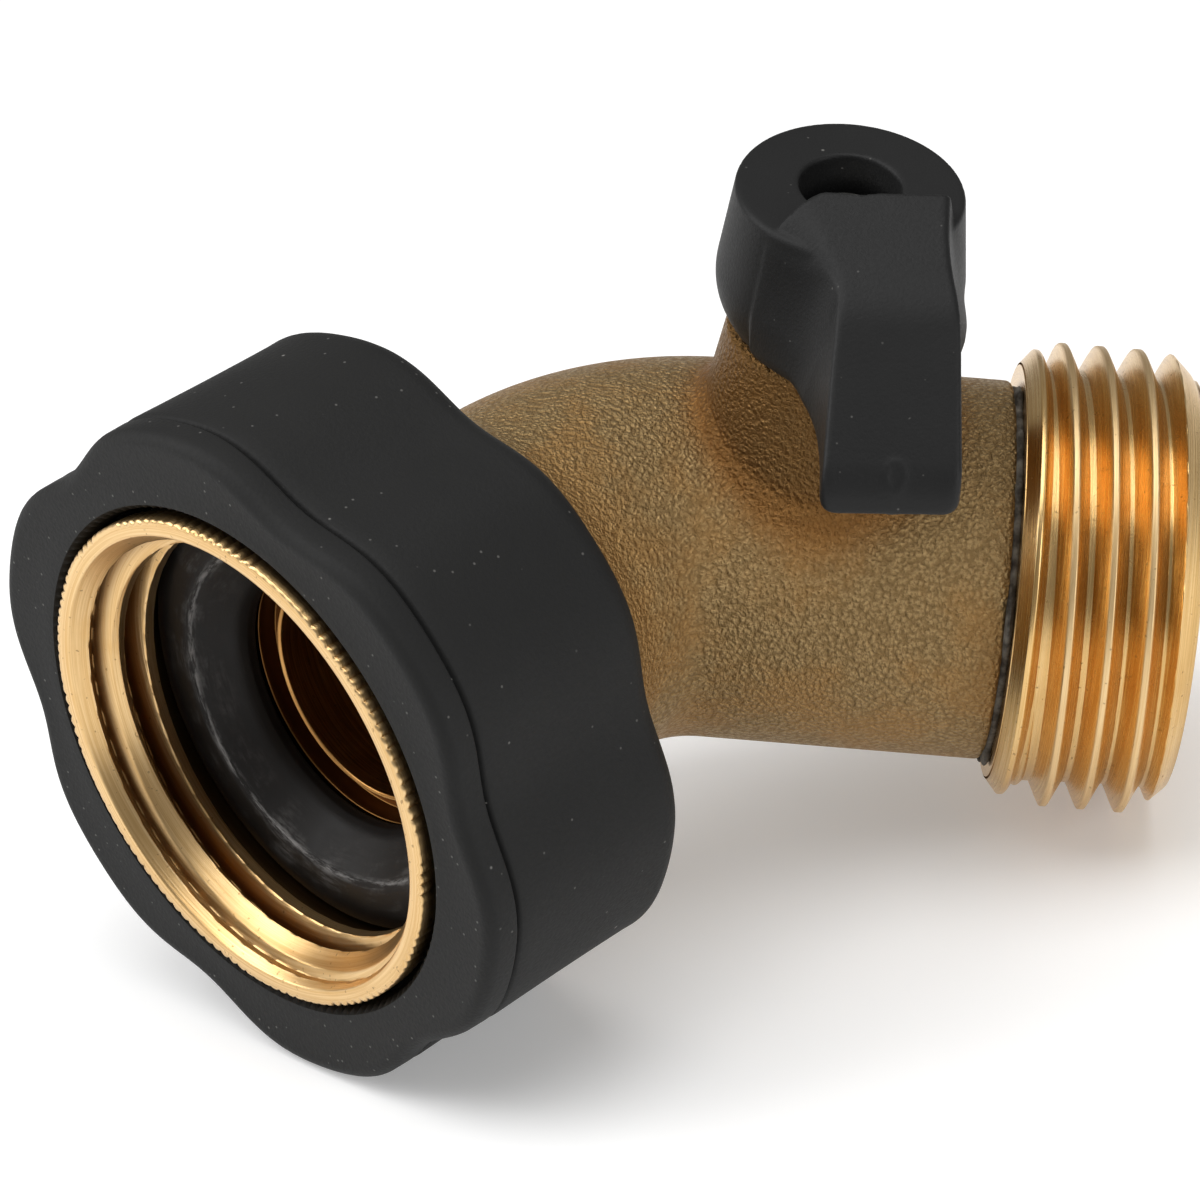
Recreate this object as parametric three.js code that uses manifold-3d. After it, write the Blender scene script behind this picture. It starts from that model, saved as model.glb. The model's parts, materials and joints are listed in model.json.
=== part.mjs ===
// Garden-hose shut-off elbow: a brass ball-valve body with a swivelling female inlet coupling in a
// rubber grip, a screwed-in male outlet adapter and a quarter-turn thumb lever.
// Millimetres, +Z up. The part lies on a table, on its grip and on the rim of its outlet thread.
//
// The valve is drawn in its own frame: the ball is centred on the origin, the outlet runs along +X,
// the stem stands along +Z, and the inlet leg leaves at ELBOW_TURN towards -X and -Y.
import * as THREE from 'three';
import { mergeVertices } from 'three/addons/utils/BufferGeometryUtils.js';
import Module from 'manifold-3d';

const wasm = await Module();
wasm.setup();

// ---------- driving dimensions ----------
const GAP = 0.3;                                  // clearance kept between separate pieces
const ROUND = 36;                                 // facets round an ordinary circle
const THREAD_ROUND = 32;                          // facets round a thread

const ELBOW_TURN = THREE.MathUtils.degToRad(48);  // how far the flow turns
const CORNER_X = -11.06;                          // where the two leg axes meet
const BODY_R = 11.04;                             // outside of both legs
const BEND_R = 13;                                // centreline radius of the elbow
const PASSAGE_R = 5.4;                            // water way through the elbow
const CAVITY_R = 9.2;                             // room for ball and seats
const CAVITY_START = -7.4;
const BODY_OUTLET_END = 10.6;
const OUTLET_SEAM = 11.4;                         // the adapter collar begins, past a bead of sealant

const HOSE_PITCH = 25.4 / 11.5;                   // garden hose thread
const MALE_MAJOR_R = 13.42;
const MALE_MINOR_R = 12.1;
const FEMALE_MAJOR_R = 13.65;
const FEMALE_MINOR_R = 12.55;
const COLLAR_LENGTH = 1.3;
const SPIGOT_R = 8.9;                             // adapter's plain end inside the body
const OUTLET_BORE_R = 9.6;
const THREAD_END = 20.7;                          // last full crest of the outlet
const OUTLET_END = 21.7;                          // outlet face
const OUTLET_CHAMFER_R = 12;

const BALL_R = 7.5;
const BALL_BORE_R = 4.6;
const SEAT_NEAR = 4.9;                            // seat faces, measured from the ball centre
const SEAT_FAR = 7.1;
const SEAT_BORE_R = 4.7;

const BOSS_TOP = 16.8;
const BOSS_TOP_R = 6;
const BOSS_FOOT_R = 6.9;
const STEM_R = 3;
const STEM_BORE_R = 3.3;
const STEM_FLANGE_R = 4.1;
const STEM_FLANGE_BASE = 7.7;
const STEM_FLANGE_TOP = 8.8;
const STEM_TOP = 21.6;
const STEM_FLAT = 1.9;                            // half width of the square drive
const ORING_WIRE_R = 0.45;
const ORING_RUN_R = 2.6;
const STEM_ORING_HEIGHTS = [11.6, 14];

const HUB_BASE = 17.3;
const HUB_TOP = 26.15;
const HUB_TOP_R = 6.34;
const HUB_WIDE_R = 7.2;
const HUB_WIDE_HEIGHT = 19.9;
const HUB_BASE_R = 5.9;
const HUB_RECESS_R = 2.95;
const HUB_RECESS_FLOOR = 22.3;
const BLADE_HALF_WIDTH = 3.8;
const BLADE_ROOT_HALF_WIDTH = 4.9;
const BLADE_OFFSET = 0.9;                         // the blade stands off centre on its hub
const BLADE_REACH = 17.4;
const LEVER_YAW = THREE.MathUtils.degToRad(6);    // rest position, just off fully shut
const STOP_R = 4.85;                              // path of the lever's stop lug
const STOP_HALF_WIDTH = 0.55;
const STOP_DEPTH = 1.4;
const LEVER_TURN = THREE.MathUtils.degToRad(90);

const NUT_FACE = 29.96;                           // stations along the inlet leg, from its corner
const NUT_BACK = 16.2;
const NUT_R = 14.85;
const NUT_BODY_R = 14.6;
const KNURL_LENGTH = 1.5;                         // the rim band that bites into the grip
const WASHER_FACE = NUT_FACE - 5.8;
const WASHER_R = 13.2;
const WASHER_FLAT_R = 12.3;                       // its sealing face lies inside the thread's crests
const WASHER_FLAT_BORE_R = 10.2;
const WASHER_HOLE_R = 8;
const FLANGE_FACE = NUT_FACE - 9.2;
const FLANGE_BACK = FLANGE_FACE - 2.3;
const FLANGE_R = 12.6;
const TAIL_R = 8.6;
const TAIL_BORE_R = 6.6;
const TAIL_END = 8.6;
const TAIL_ORING_STATION = 10.8;
const BODY_INLET_END = 15.4;
const NUT_WALL_BORE_R = 9.2;

const GRIP_FRONT = NUT_FACE - 0.35;
const GRIP_PARTING = GRIP_FRONT - 2.1;
const GRIP_BACK = 14.5;
const GRIP_BORE_R = NUT_R + GAP;
const GRIP_REAR_BORE_R = BODY_R + 1;
const GRIP_LOBES = 6;
const GRIP_LOBE_R = 19.9;
const GRIP_NOTCH_DEPTH = 1.35;
const GRIP_PHASE = THREE.MathUtils.degToRad(7);

const COLOURS = {
  castBrass: { color: 0x8a6f43, roughness: 0.55, metalness: 0.85 },
  turnedBrass: { color: 0xc79a54, roughness: 0.28, metalness: 1 },
  chrome: { color: 0xc9ccd0, roughness: 0.12, metalness: 1 },
  steel: { color: 0x9a9c9e, roughness: 0.35, metalness: 1 },
  gripRubber: { color: 0x2b2c2d, roughness: 0.8, metalness: 0 },
  sealRubber: { color: 0x171615, roughness: 0.7, metalness: 0 },
  leverPlastic: { color: 0x303234, roughness: 0.65, metalness: 0 },
  ptfe: { color: 0xe9e7df, roughness: 0.5, metalness: 0 },
  sealant: { color: 0xb9b3a4, roughness: 0.9, metalness: 0 },
};

// ---------- solids ----------
function toSolid(geometry) {
  const bare = geometry.index ? geometry.toNonIndexed() : geometry.clone();
  bare.deleteAttribute('normal');
  bare.deleteAttribute('uv');
  const merged = mergeVertices(bare, 1e-4);
  const mesh = new wasm.Mesh({
    numProp: 3,
    vertProperties: new Float32Array(merged.attributes.position.array),
    triVerts: new Uint32Array(merged.index.array),
  });
  return new wasm.Manifold(mesh);
}

function toGeometry(solid) {
  const mesh = solid.getMesh();
  const geometry = new THREE.BufferGeometry();
  geometry.setAttribute('position', new THREE.BufferAttribute(new Float32Array(mesh.vertProperties), 3));
  geometry.setIndex(new THREE.BufferAttribute(new Uint32Array(mesh.triVerts), 1));
  return geometry;
}

// A closed profile of [radius, height] points turned about +Z.
function turned(points, facets = ROUND) {
  const profile = points.map(([radius, height]) => new THREE.Vector2(radius, height));
  const first = profile[0];
  const last = profile[profile.length - 1];
  if (first.x !== 0 || last.x !== 0) {
    profile.push(first.clone());
  }
  const geometry = new THREE.LatheGeometry(profile, facets);
  geometry.rotateX(Math.PI / 2);
  return toSolid(orientOutwards(geometry));
}

// Lathe profiles may be listed either way round; the volume's sign tells which way the faces point.
function orientOutwards(geometry) {
  const flat = geometry.toNonIndexed();
  const position = flat.attributes.position;
  const a = new THREE.Vector3();
  const b = new THREE.Vector3();
  const c = new THREE.Vector3();
  let volume = 0;
  for (let i = 0; i < position.count; i += 3) {
    a.fromBufferAttribute(position, i);
    b.fromBufferAttribute(position, i + 1);
    c.fromBufferAttribute(position, i + 2);
    volume += a.dot(b.cross(c));
  }
  if (volume < 0) {
    for (let i = 0; i < position.count; i += 3) {
      b.fromBufferAttribute(position, i + 1);
      c.fromBufferAttribute(position, i + 2);
      position.setXYZ(i + 1, c.x, c.y, c.z);
      position.setXYZ(i + 2, b.x, b.y, b.z);
    }
  }
  return flat;
}

function rod(radius, from, to, facets = ROUND) {
  return turned([[0, from], [radius, from], [radius, to], [0, to]], facets);
}

function tube(inner, outer, from, to, facets = ROUND) {
  return turned([[inner, from], [outer, from], [outer, to], [inner, to]], facets);
}

function block(x0, x1, y0, y1, z0, z1) {
  const geometry = new THREE.BoxGeometry(x1 - x0, y1 - y0, z1 - z0);
  geometry.translate((x0 + x1) / 2, (y0 + y1) / 2, (z0 + z1) / 2);
  return toSolid(geometry);
}

// An outline in the plane of [x, y] points pushed up from one height to another.
function plate(points, from, to) {
  const shape = new THREE.Shape(points.map(([x, y]) => new THREE.Vector2(x, y)));
  const geometry = new THREE.ExtrudeGeometry(shape, { depth: to - from, bevelEnabled: false });
  geometry.translate(0, 0, from);
  return toSolid(geometry);
}

function arcPoints(radius, from, to, steps) {
  const points = [];
  for (let i = 0; i <= steps; i += 1) {
    const angle = from + (to - from) * (i / steps);
    points.push([radius * Math.cos(angle), radius * Math.sin(angle)]);
  }
  return points;
}

function placed(solid, matrix) {
  return toSolid(toGeometry(solid).applyMatrix4(matrix));
}

function ring(runRadius, wireRadius, height) {
  const geometry = new THREE.TorusGeometry(runRadius, wireRadius, 6, 20);
  geometry.translate(0, 0, height);
  return toSolid(geometry);
}

// A screw with a trapezoid thread about +Z. Its rows of vertices follow the helix, so crest and root
// stay sharp; one pitch holds four rows, and after one turn a row meets the row one pitch further on.
function screw(minorR, majorR, pitch, from, to) {
  const rowsPerPitch = 4;
  const shares = [0, 0.14, 0.5, 0.64];
  const radii = [majorR, majorR, minorR, minorR];
  const pitches = Math.ceil((to - from) / pitch) + 2;
  const rows = pitches * rowsPerPitch;
  const start = from - pitch;
  const vertices = [];
  const indices = [];
  const put = (row, step) => {
    const turn = step / THREAD_ROUND;
    const height = start + pitch * (Math.floor(row / rowsPerPitch) + shares[row % rowsPerPitch] + turn);
    const radius = radii[row % rowsPerPitch];
    const angle = turn * 2 * Math.PI;
    vertices.push(radius * Math.cos(angle), radius * Math.sin(angle), height);
  };
  for (let row = 0; row <= rows + rowsPerPitch; row += 1) {
    for (let step = 0; step < THREAD_ROUND; step += 1) {
      put(row, step);
    }
  }
  const at = (row, step) => {
    const wrapped = step === THREAD_ROUND;
    return wrapped ? (row + rowsPerPitch) * THREAD_ROUND : row * THREAD_ROUND + step;
  };
  for (let row = 0; row < rows; row += 1) {
    for (let step = 0; step < THREAD_ROUND; step += 1) {
      const a = at(row, step);
      const b = at(row, step + 1);
      const c = at(row + 1, step + 1);
      const d = at(row + 1, step);
      indices.push(a, b, c, a, c, d);
    }
  }
  const cap = (row, flip) => {
    const centre = vertices.length / 3;
    const height = start + pitch * (Math.floor(row / rowsPerPitch) + 0.5);
    vertices.push(0, 0, height);
    const rim = [];
    for (let step = 0; step <= THREAD_ROUND; step += 1) {
      rim.push(at(row, step));
    }
    for (let back = rowsPerPitch - 1; back >= 0; back -= 1) {
      rim.push(at(row + back, 0));
    }
    for (let i = 0; i + 1 < rim.length; i += 1) {
      indices.push(centre, flip ? rim[i] : rim[i + 1], flip ? rim[i + 1] : rim[i]);
    }
  };
  cap(0, false);
  cap(rows, true);
  const used = new THREE.BufferGeometry();
  used.setAttribute('position', new THREE.Float32BufferAttribute(vertices, 3));
  used.setIndex(indices);
  return toSolid(orientOutwards(used));
}

// ---------- frames inside the valve ----------
const alongOutlet = new THREE.Matrix4().makeRotationY(Math.PI / 2);
const inletDirection = new THREE.Vector3(-Math.cos(ELBOW_TURN), -Math.sin(ELBOW_TURN), 0);
// The coupling's frame: its +Z runs out of the inlet mouth and its +Y is the stem's direction.
const inletFrame = new THREE.Matrix4().makeBasis(
  new THREE.Vector3(Math.sin(ELBOW_TURN), -Math.cos(ELBOW_TURN), 0),
  new THREE.Vector3(0, 0, 1),
  inletDirection,
).setPosition(CORNER_X, 0, 0);
const leverFrame = new THREE.Matrix4().makeRotationZ(LEVER_YAW);

// ---------- valve body ----------
// A round section swept along the elbow run, one ring of vertices at each knot of the run.
function sweptElbow(radius, inletStation, outletX) {
  const tangent = BEND_R * Math.tan(ELBOW_TURN / 2);
  const steps = 8;
  const stations = [];
  const straight = (station) => {
    const point = inletDirection.clone().multiplyScalar(station);
    point.x += CORNER_X;
    return point;
  };
  stations.push({ point: straight(inletStation), heading: ELBOW_TURN });
  for (let i = 0; i <= steps; i += 1) {
    const heading = ELBOW_TURN * (1 - i / steps);
    const point = new THREE.Vector3(
      CORNER_X + tangent - BEND_R * Math.sin(heading),
      -BEND_R + BEND_R * Math.cos(heading),
      0,
    );
    stations.push({ point, heading });
  }
  stations.push({ point: new THREE.Vector3(outletX, 0, 0), heading: 0 });
  const vertices = [];
  const indices = [];
  for (const { point, heading } of stations) {
    for (let step = 0; step < ROUND; step += 1) {
      const angle = (step / ROUND) * 2 * Math.PI;
      const side = radius * Math.cos(angle);
      vertices.push(
        point.x - side * Math.sin(heading),
        point.y + side * Math.cos(heading),
        radius * Math.sin(angle),
      );
    }
  }
  for (let row = 0; row + 1 < stations.length; row += 1) {
    for (let step = 0; step < ROUND; step += 1) {
      const next = (step + 1) % ROUND;
      const a = row * ROUND + step;
      const b = row * ROUND + next;
      const c = (row + 1) * ROUND + next;
      const d = (row + 1) * ROUND + step;
      indices.push(a, b, c, a, c, d);
    }
  }
  const lastRow = (stations.length - 1) * ROUND;
  for (let step = 1; step + 1 < ROUND; step += 1) {
    indices.push(0, step + 1, step);
    indices.push(lastRow, lastRow + step, lastRow + step + 1);
  }
  const geometry = new THREE.BufferGeometry();
  geometry.setAttribute('position', new THREE.Float32BufferAttribute(vertices, 3));
  geometry.setIndex(indices);
  return toSolid(orientOutwards(geometry));
}

function stopTrack() {
  const margin = 0.16;
  const from = -Math.PI / 2 - margin;
  const to = -Math.PI / 2 + LEVER_TURN + margin;
  const outer = arcPoints(STOP_R + 0.75, from, to, 12);
  const inner = arcPoints(STOP_R - 0.75, to, from, 12);
  return plate([...outer, ...inner], BOSS_TOP - STOP_DEPTH, BOSS_TOP + 1);
}

function valveBody() {
  const boss = turned([[0, 4], [BOSS_FOOT_R, 4], [BOSS_FOOT_R, 11], [BOSS_TOP_R, BOSS_TOP], [0, BOSS_TOP]]);
  let solid = sweptElbow(BODY_R, BODY_INLET_END, BODY_OUTLET_END).add(boss);
  solid = solid.subtract(sweptElbow(PASSAGE_R, BODY_INLET_END + 1, CAVITY_START + 1));
  solid = solid.subtract(placed(rod(CAVITY_R, CAVITY_START, BODY_OUTLET_END + 1), alongOutlet));
  solid = solid.subtract(placed(rod(TAIL_R + GAP, TAIL_END - GAP, BODY_INLET_END + 1), inletFrame));
  solid = solid.subtract(rod(STEM_BORE_R, 0, BOSS_TOP + 1, 24));
  solid = solid.subtract(rod(STEM_FLANGE_R + GAP, 0, STEM_FLANGE_TOP + 1.35, 24));
  return solid.subtract(stopTrack());
}

// ---------- outlet adapter ----------
function outletAdapter() {
  const collarEnd = OUTLET_SEAM + COLLAR_LENGTH;
  const envelope = turned([
    [0, SEAT_FAR + GAP],
    [SPIGOT_R, SEAT_FAR + GAP],
    [SPIGOT_R, OUTLET_SEAM],
    [MALE_MAJOR_R + 1, OUTLET_SEAM],
    [MALE_MAJOR_R + 1, THREAD_END - 1],
    [OUTLET_CHAMFER_R, OUTLET_END],
    [0, OUTLET_END],
  ], THREAD_ROUND);
  const blank = turned([
    [0, SEAT_FAR],
    [MALE_MAJOR_R + 0.05, SEAT_FAR],
    [MALE_MAJOR_R + 0.05, collarEnd - 0.4],
    [MALE_MINOR_R - 0.05, collarEnd + 0.5],
    [MALE_MINOR_R - 0.05, OUTLET_END + 1],
    [0, OUTLET_END + 1],
  ], THREAD_ROUND);
  const bore = turned([
    [0, 0],
    [SEAT_BORE_R, 0],
    [SEAT_BORE_R, OUTLET_SEAM],
    [OUTLET_BORE_R, OUTLET_SEAM + 3],
    [OUTLET_BORE_R, OUTLET_END - 0.6],
    [OUTLET_BORE_R + 0.6, OUTLET_END],
    [OUTLET_BORE_R + 0.6, OUTLET_END + 2],
    [0, OUTLET_END + 2],
  ], THREAD_ROUND);
  const thread = screw(MALE_MINOR_R, MALE_MAJOR_R, HOSE_PITCH, collarEnd, OUTLET_END);
  const solid = blank.add(thread).intersect(envelope).subtract(bore);
  return placed(solid, alongOutlet);
}

// Sealant squeezed out between the body's end and the adapter's collar.
function sealantBead() {
  return placed(tube(SPIGOT_R + GAP, BODY_R + 0.25, BODY_OUTLET_END + 0.15, OUTLET_SEAM - 0.15), alongOutlet);
}

// ---------- ball, seats and stem ----------
function ballSlot() {
  return block(-BALL_R, BALL_R, -1.4, 1.4, BALL_R - 2.3, BALL_R + 1);
}

function ball() {
  const sphere = toSolid(new THREE.SphereGeometry(BALL_R, ROUND, ROUND / 2));
  const bore = placed(rod(BALL_BORE_R, -BALL_R - 1, BALL_R + 1), new THREE.Matrix4().makeRotationX(Math.PI / 2));
  return sphere.subtract(bore).subtract(ballSlot());
}

function seat(side) {
  const blank = tube(SEAT_BORE_R, CAVITY_R - GAP, SEAT_NEAR, SEAT_FAR);
  const socket = toSolid(new THREE.SphereGeometry(BALL_R + GAP, ROUND, ROUND / 2));
  const turn = new THREE.Matrix4().makeRotationY((side * Math.PI) / 2);
  return placed(blank.subtract(socket), turn);
}

function thrustWasher() {
  return tube(STEM_R + 0.2, STEM_FLANGE_R, STEM_FLANGE_TOP + 0.25, STEM_FLANGE_TOP + 1.1, 24);
}

function stem() {
  const grooves = STEM_ORING_HEIGHTS.flatMap((height) => [
    [STEM_R, height - 0.8],
    [STEM_R - 1, height - 0.8],
    [STEM_R - 1, height + 0.8],
    [STEM_R, height + 0.8],
  ]);
  const shaft = turned([
    [0, STEM_FLANGE_BASE],
    [STEM_FLANGE_R, STEM_FLANGE_BASE],
    [STEM_FLANGE_R, STEM_FLANGE_TOP],
    [STEM_R, STEM_FLANGE_TOP],
    ...grooves,
    [STEM_R, BOSS_TOP],
    [0, BOSS_TOP],
  ], 24);
  const drive = block(-STEM_FLAT, STEM_FLAT, -STEM_FLAT, STEM_FLAT, BOSS_TOP - 1, STEM_TOP);
  const tang = block(-3, 3, -1.1, 1.1, BALL_R - 1.9, STEM_FLANGE_BASE + 0.5);
  const tapped = rod(1.35, STEM_TOP - 5.5, STEM_TOP + 1, 16);
  return shaft.add(drive).add(tang).subtract(tapped);
}

function stemORing(index) {
  return ring(ORING_RUN_R, ORING_WIRE_R, STEM_ORING_HEIGHTS[index]);
}

function leverScrew() {
  const headBase = HUB_RECESS_FLOOR + 0.9;
  const shank = rod(1.05, STEM_TOP - 5, headBase + 0.5, 16);
  const head = turned([[0, headBase], [2.5, headBase], [2.5, headBase + 1], [1.7, headBase + 1.7],
    [0, headBase + 1.7]], 24);
  const slotWide = block(-1.4, 1.4, -0.3, 0.3, headBase + 0.8, headBase + 3);
  const slotTall = block(-0.3, 0.3, -1.4, 1.4, headBase + 0.8, headBase + 3);
  return shank.add(head).subtract(slotWide).subtract(slotTall);
}

// The lock washer is a flat ring with a split, bent no further than its own thickness.
function lockWasher() {
  const disc = tube(1.45, 2.4, HUB_RECESS_FLOOR + 0.1, HUB_RECESS_FLOOR + 0.7, 24);
  return disc.subtract(block(0.5, 3, -0.25, 0.25, HUB_RECESS_FLOOR - 1, HUB_RECESS_FLOOR + 2));
}

// ---------- lever ----------
// The blade runs out along -Y. Its plan flares where it leaves the round hub.
function bladePlan() {
  const side = [[BLADE_HALF_WIDTH - 0.3, 0.9], [BLADE_ROOT_HALF_WIDTH, 3.3]];
  for (let i = 1; i <= 4; i += 1) {
    const share = i / 4;
    const flare = (1 - share) ** 2;
    side.push([BLADE_HALF_WIDTH + (BLADE_ROOT_HALF_WIDTH - BLADE_HALF_WIDTH) * flare, 3.3 + 5.2 * share]);
  }
  side.push([BLADE_HALF_WIDTH, BLADE_REACH - 1.1]);
  side.push([BLADE_HALF_WIDTH - 0.3, BLADE_REACH - 0.3]);
  side.push([BLADE_HALF_WIDTH - 1.1, BLADE_REACH]);
  const right = side.map(([x, out]) => [BLADE_OFFSET + x, -out]);
  const left = side.map(([x, out]) => [BLADE_OFFSET - x, -out]).reverse();
  return [...left, ...right];
}

// Side view of the blade, [distance out, height]: a ridge above the hub, a long slope, and a thin tip.
const BLADE_SIDE = [
  [0.9, HUB_BASE + 1.5],
  [0.9, HUB_TOP],
  [1.9, HUB_TOP + 1.15],
  [9, 25.2],
  [BLADE_REACH - 0.4, 18],
  [BLADE_REACH, 16.9],
  [BLADE_REACH - 0.6, 16],
  [12, 17.6],
  [7.5, 18.4],
  [5, HUB_BASE + 0.4],
];

function lever() {
  const hub = turned([[0, HUB_BASE], [HUB_BASE_R, HUB_BASE], [HUB_WIDE_R, HUB_WIDE_HEIGHT],
    [HUB_TOP_R, HUB_TOP], [0, HUB_TOP]]);
  const sideView = plate(BLADE_SIDE, -10, 10);
  const standUp = new THREE.Matrix4().makeBasis(
    new THREE.Vector3(0, -1, 0),
    new THREE.Vector3(0, 0, 1),
    new THREE.Vector3(-1, 0, 0),
  );
  const blade = plate(bladePlan(), HUB_BASE - 5, HUB_TOP + 3).intersect(placed(sideView, standUp));
  const lug = plate([
    [-STOP_HALF_WIDTH, -STOP_R - 0.45],
    [STOP_HALF_WIDTH, -STOP_R - 0.45],
    [STOP_HALF_WIDTH, -STOP_R + 0.45],
    [-STOP_HALF_WIDTH, -STOP_R + 0.45],
  ], BOSS_TOP - STOP_DEPTH + GAP, HUB_BASE + 0.5);
  const socket = STEM_FLAT + GAP / 2;
  return hub.add(blade).add(lug)
    .subtract(rod(HUB_RECESS_R, HUB_RECESS_FLOOR, HUB_TOP + 3, 32))
    .subtract(rod(1.4, HUB_BASE, HUB_TOP, 16))
    .subtract(block(-socket, socket, -socket, socket, HUB_BASE - 1, STEM_TOP + GAP))
    .subtract(rod(STEM_R + GAP, HUB_BASE - 1, HUB_BASE + 0.1, 24));
}

// ---------- inlet coupling, drawn along +Z from the corner of the elbow ----------
function swivelNut() {
  const blank = turned([
    [0, NUT_BACK],
    [NUT_BODY_R - 0.8, NUT_BACK],
    [NUT_BODY_R, NUT_BACK + 0.8],
    [NUT_BODY_R, NUT_FACE - KNURL_LENGTH - 0.3],
    [NUT_R, NUT_FACE - KNURL_LENGTH],
    [NUT_R, NUT_FACE - 0.25],
    [NUT_R - 0.25, NUT_FACE],
    [0, NUT_FACE],
  ]);
  const cavity = turned([
    [0, NUT_BACK - 1],
    [NUT_WALL_BORE_R, NUT_BACK - 1],
    [NUT_WALL_BORE_R, FLANGE_BACK - GAP],
    [FEMALE_MAJOR_R, FLANGE_BACK - GAP],
    [FEMALE_MAJOR_R, WASHER_FACE + GAP],
    [FEMALE_MINOR_R, WASHER_FACE + GAP + 0.8],
    [FEMALE_MINOR_R, NUT_FACE - 1.5],
    [FEMALE_MAJOR_R + 0.35, NUT_FACE],
    [FEMALE_MAJOR_R + 0.35, NUT_FACE + 1],
    [0, NUT_FACE + 1],
  ], THREAD_ROUND);
  const grooves = screw(FEMALE_MINOR_R - 0.2, FEMALE_MAJOR_R, HOSE_PITCH, WASHER_FACE + 0.6, NUT_FACE + 1)
    .intersect(rod(FEMALE_MAJOR_R + 1, WASHER_FACE + 0.6, NUT_FACE + 1));
  return blank.subtract(cavity).subtract(grooves);
}

// The grip's outline: six lobes with a rounded notch between each two.
function gripRadius(angle) {
  const wave = 0.5 + 0.5 * Math.cos(GRIP_LOBES * (angle - GRIP_PHASE) + Math.PI);
  return GRIP_LOBE_R - GRIP_NOTCH_DEPTH * wave ** 2.2;
}

function gripSleeve() {
  const facets = 72;
  // [station, how far the outline is drawn in there], from the rounded back to the front face
  const rings = [
    [GRIP_BACK, 2.2],
    [GRIP_BACK + 0.7, 0.9],
    [GRIP_BACK + 2.2, 0],
    [GRIP_PARTING, 0.1],
    [GRIP_FRONT - 0.7, 0.2],
    [GRIP_FRONT, 0.75],
  ];
  const vertices = [];
  const indices = [];
  for (const [height, inset] of rings) {
    for (let step = 0; step < facets; step += 1) {
      const angle = (step / facets) * 2 * Math.PI;
      const radius = gripRadius(angle) - inset;
      vertices.push(-radius * Math.cos(angle), radius * Math.sin(angle), height);
    }
  }
  for (let row = 0; row + 1 < rings.length; row += 1) {
    for (let step = 0; step < facets; step += 1) {
      const next = (step + 1) % facets;
      const a = row * facets + step;
      const b = row * facets + next;
      const c = (row + 1) * facets + next;
      const d = (row + 1) * facets + step;
      indices.push(a, b, c, a, c, d);
    }
  }
  const lastRow = (rings.length - 1) * facets;
  for (let step = 1; step + 1 < facets; step += 1) {
    indices.push(0, step + 1, step);
    indices.push(lastRow, lastRow + step, lastRow + step + 1);
  }
  const geometry = new THREE.BufferGeometry();
  geometry.setAttribute('position', new THREE.Float32BufferAttribute(vertices, 3));
  geometry.setIndex(indices);
  const bore = turned([
    [0, GRIP_BACK - 1],
    [GRIP_REAR_BORE_R, GRIP_BACK - 1],
    [GRIP_REAR_BORE_R, NUT_BACK - GAP],
    [NUT_BODY_R + GAP, NUT_BACK - GAP],
    [NUT_BODY_R + GAP, NUT_FACE - KNURL_LENGTH - 0.9],
    [GRIP_BORE_R, NUT_FACE - KNURL_LENGTH - 0.4],
    [GRIP_BORE_R, NUT_FACE + 1],
    [0, NUT_FACE + 1],
  ]);
  return toSolid(orientOutwards(geometry)).subtract(bore);
}

function hoseWasher() {
  return turned([
    [WASHER_HOLE_R, FLANGE_FACE + GAP],
    [WASHER_R, FLANGE_FACE + GAP],
    [WASHER_R, WASHER_FACE - 0.5],
    [WASHER_FLAT_R, WASHER_FACE],
    [WASHER_FLAT_BORE_R, WASHER_FACE],
    [WASHER_HOLE_R, FLANGE_FACE + 1.1],
  ]);
}

function tailpiece() {
  return turned([
    [TAIL_BORE_R, TAIL_END],
    [TAIL_R, TAIL_END],
    [TAIL_R, TAIL_ORING_STATION - 0.6],
    [TAIL_R - 0.8, TAIL_ORING_STATION - 0.6],
    [TAIL_R - 0.8, TAIL_ORING_STATION + 0.6],
    [TAIL_R, TAIL_ORING_STATION + 0.6],
    [TAIL_R, FLANGE_BACK],
    [FLANGE_R, FLANGE_BACK],
    [FLANGE_R, FLANGE_FACE],
    [TAIL_BORE_R + 0.5, FLANGE_FACE],
    [TAIL_BORE_R, FLANGE_FACE - 0.6],
  ]);
}

// ---------- assembly ----------
function part(name, solid, colour, matrix) {
  const mesh = new THREE.Mesh(toGeometry(solid), new THREE.MeshStandardMaterial(COLOURS[colour]));
  mesh.name = name;
  if (matrix) {
    mesh.applyMatrix4(matrix);
  }
  return mesh;
}

const valve = new THREE.Group();
valve.position.x = -CORNER_X;
valve.add(
  part('valve_body', valveBody(), 'castBrass'),
  part('outlet_adapter', outletAdapter(), 'turnedBrass'),
  part('thread_sealant', sealantBead(), 'sealant'),
  part('ball', ball(), 'chrome', leverFrame),
  part('inlet_seat', seat(-1), 'ptfe'),
  part('outlet_seat', seat(1), 'ptfe'),
  part('stem', stem(), 'turnedBrass', leverFrame),
  part('stem_thrust_washer', thrustWasher(), 'ptfe', leverFrame),
  part('stem_o_ring_lower', stemORing(0), 'sealRubber', leverFrame),
  part('stem_o_ring_upper', stemORing(1), 'sealRubber', leverFrame),
  part('lever', lever(), 'leverPlastic', leverFrame),
  part('lock_washer', lockWasher(), 'steel', leverFrame),
  part('lever_screw', leverScrew(), 'steel', leverFrame),
  part('swivel_nut', swivelNut(), 'turnedBrass', inletFrame),
  part('grip_sleeve', gripSleeve(), 'gripRubber', inletFrame),
  part('hose_washer', hoseWasher(), 'sealRubber', inletFrame),
  part('tailpiece', tailpiece(), 'turnedBrass', inletFrame),
  part('tailpiece_o_ring', ring(TAIL_R - 0.3, 0.42, TAIL_ORING_STATION), 'sealRubber', inletFrame),
);

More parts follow.
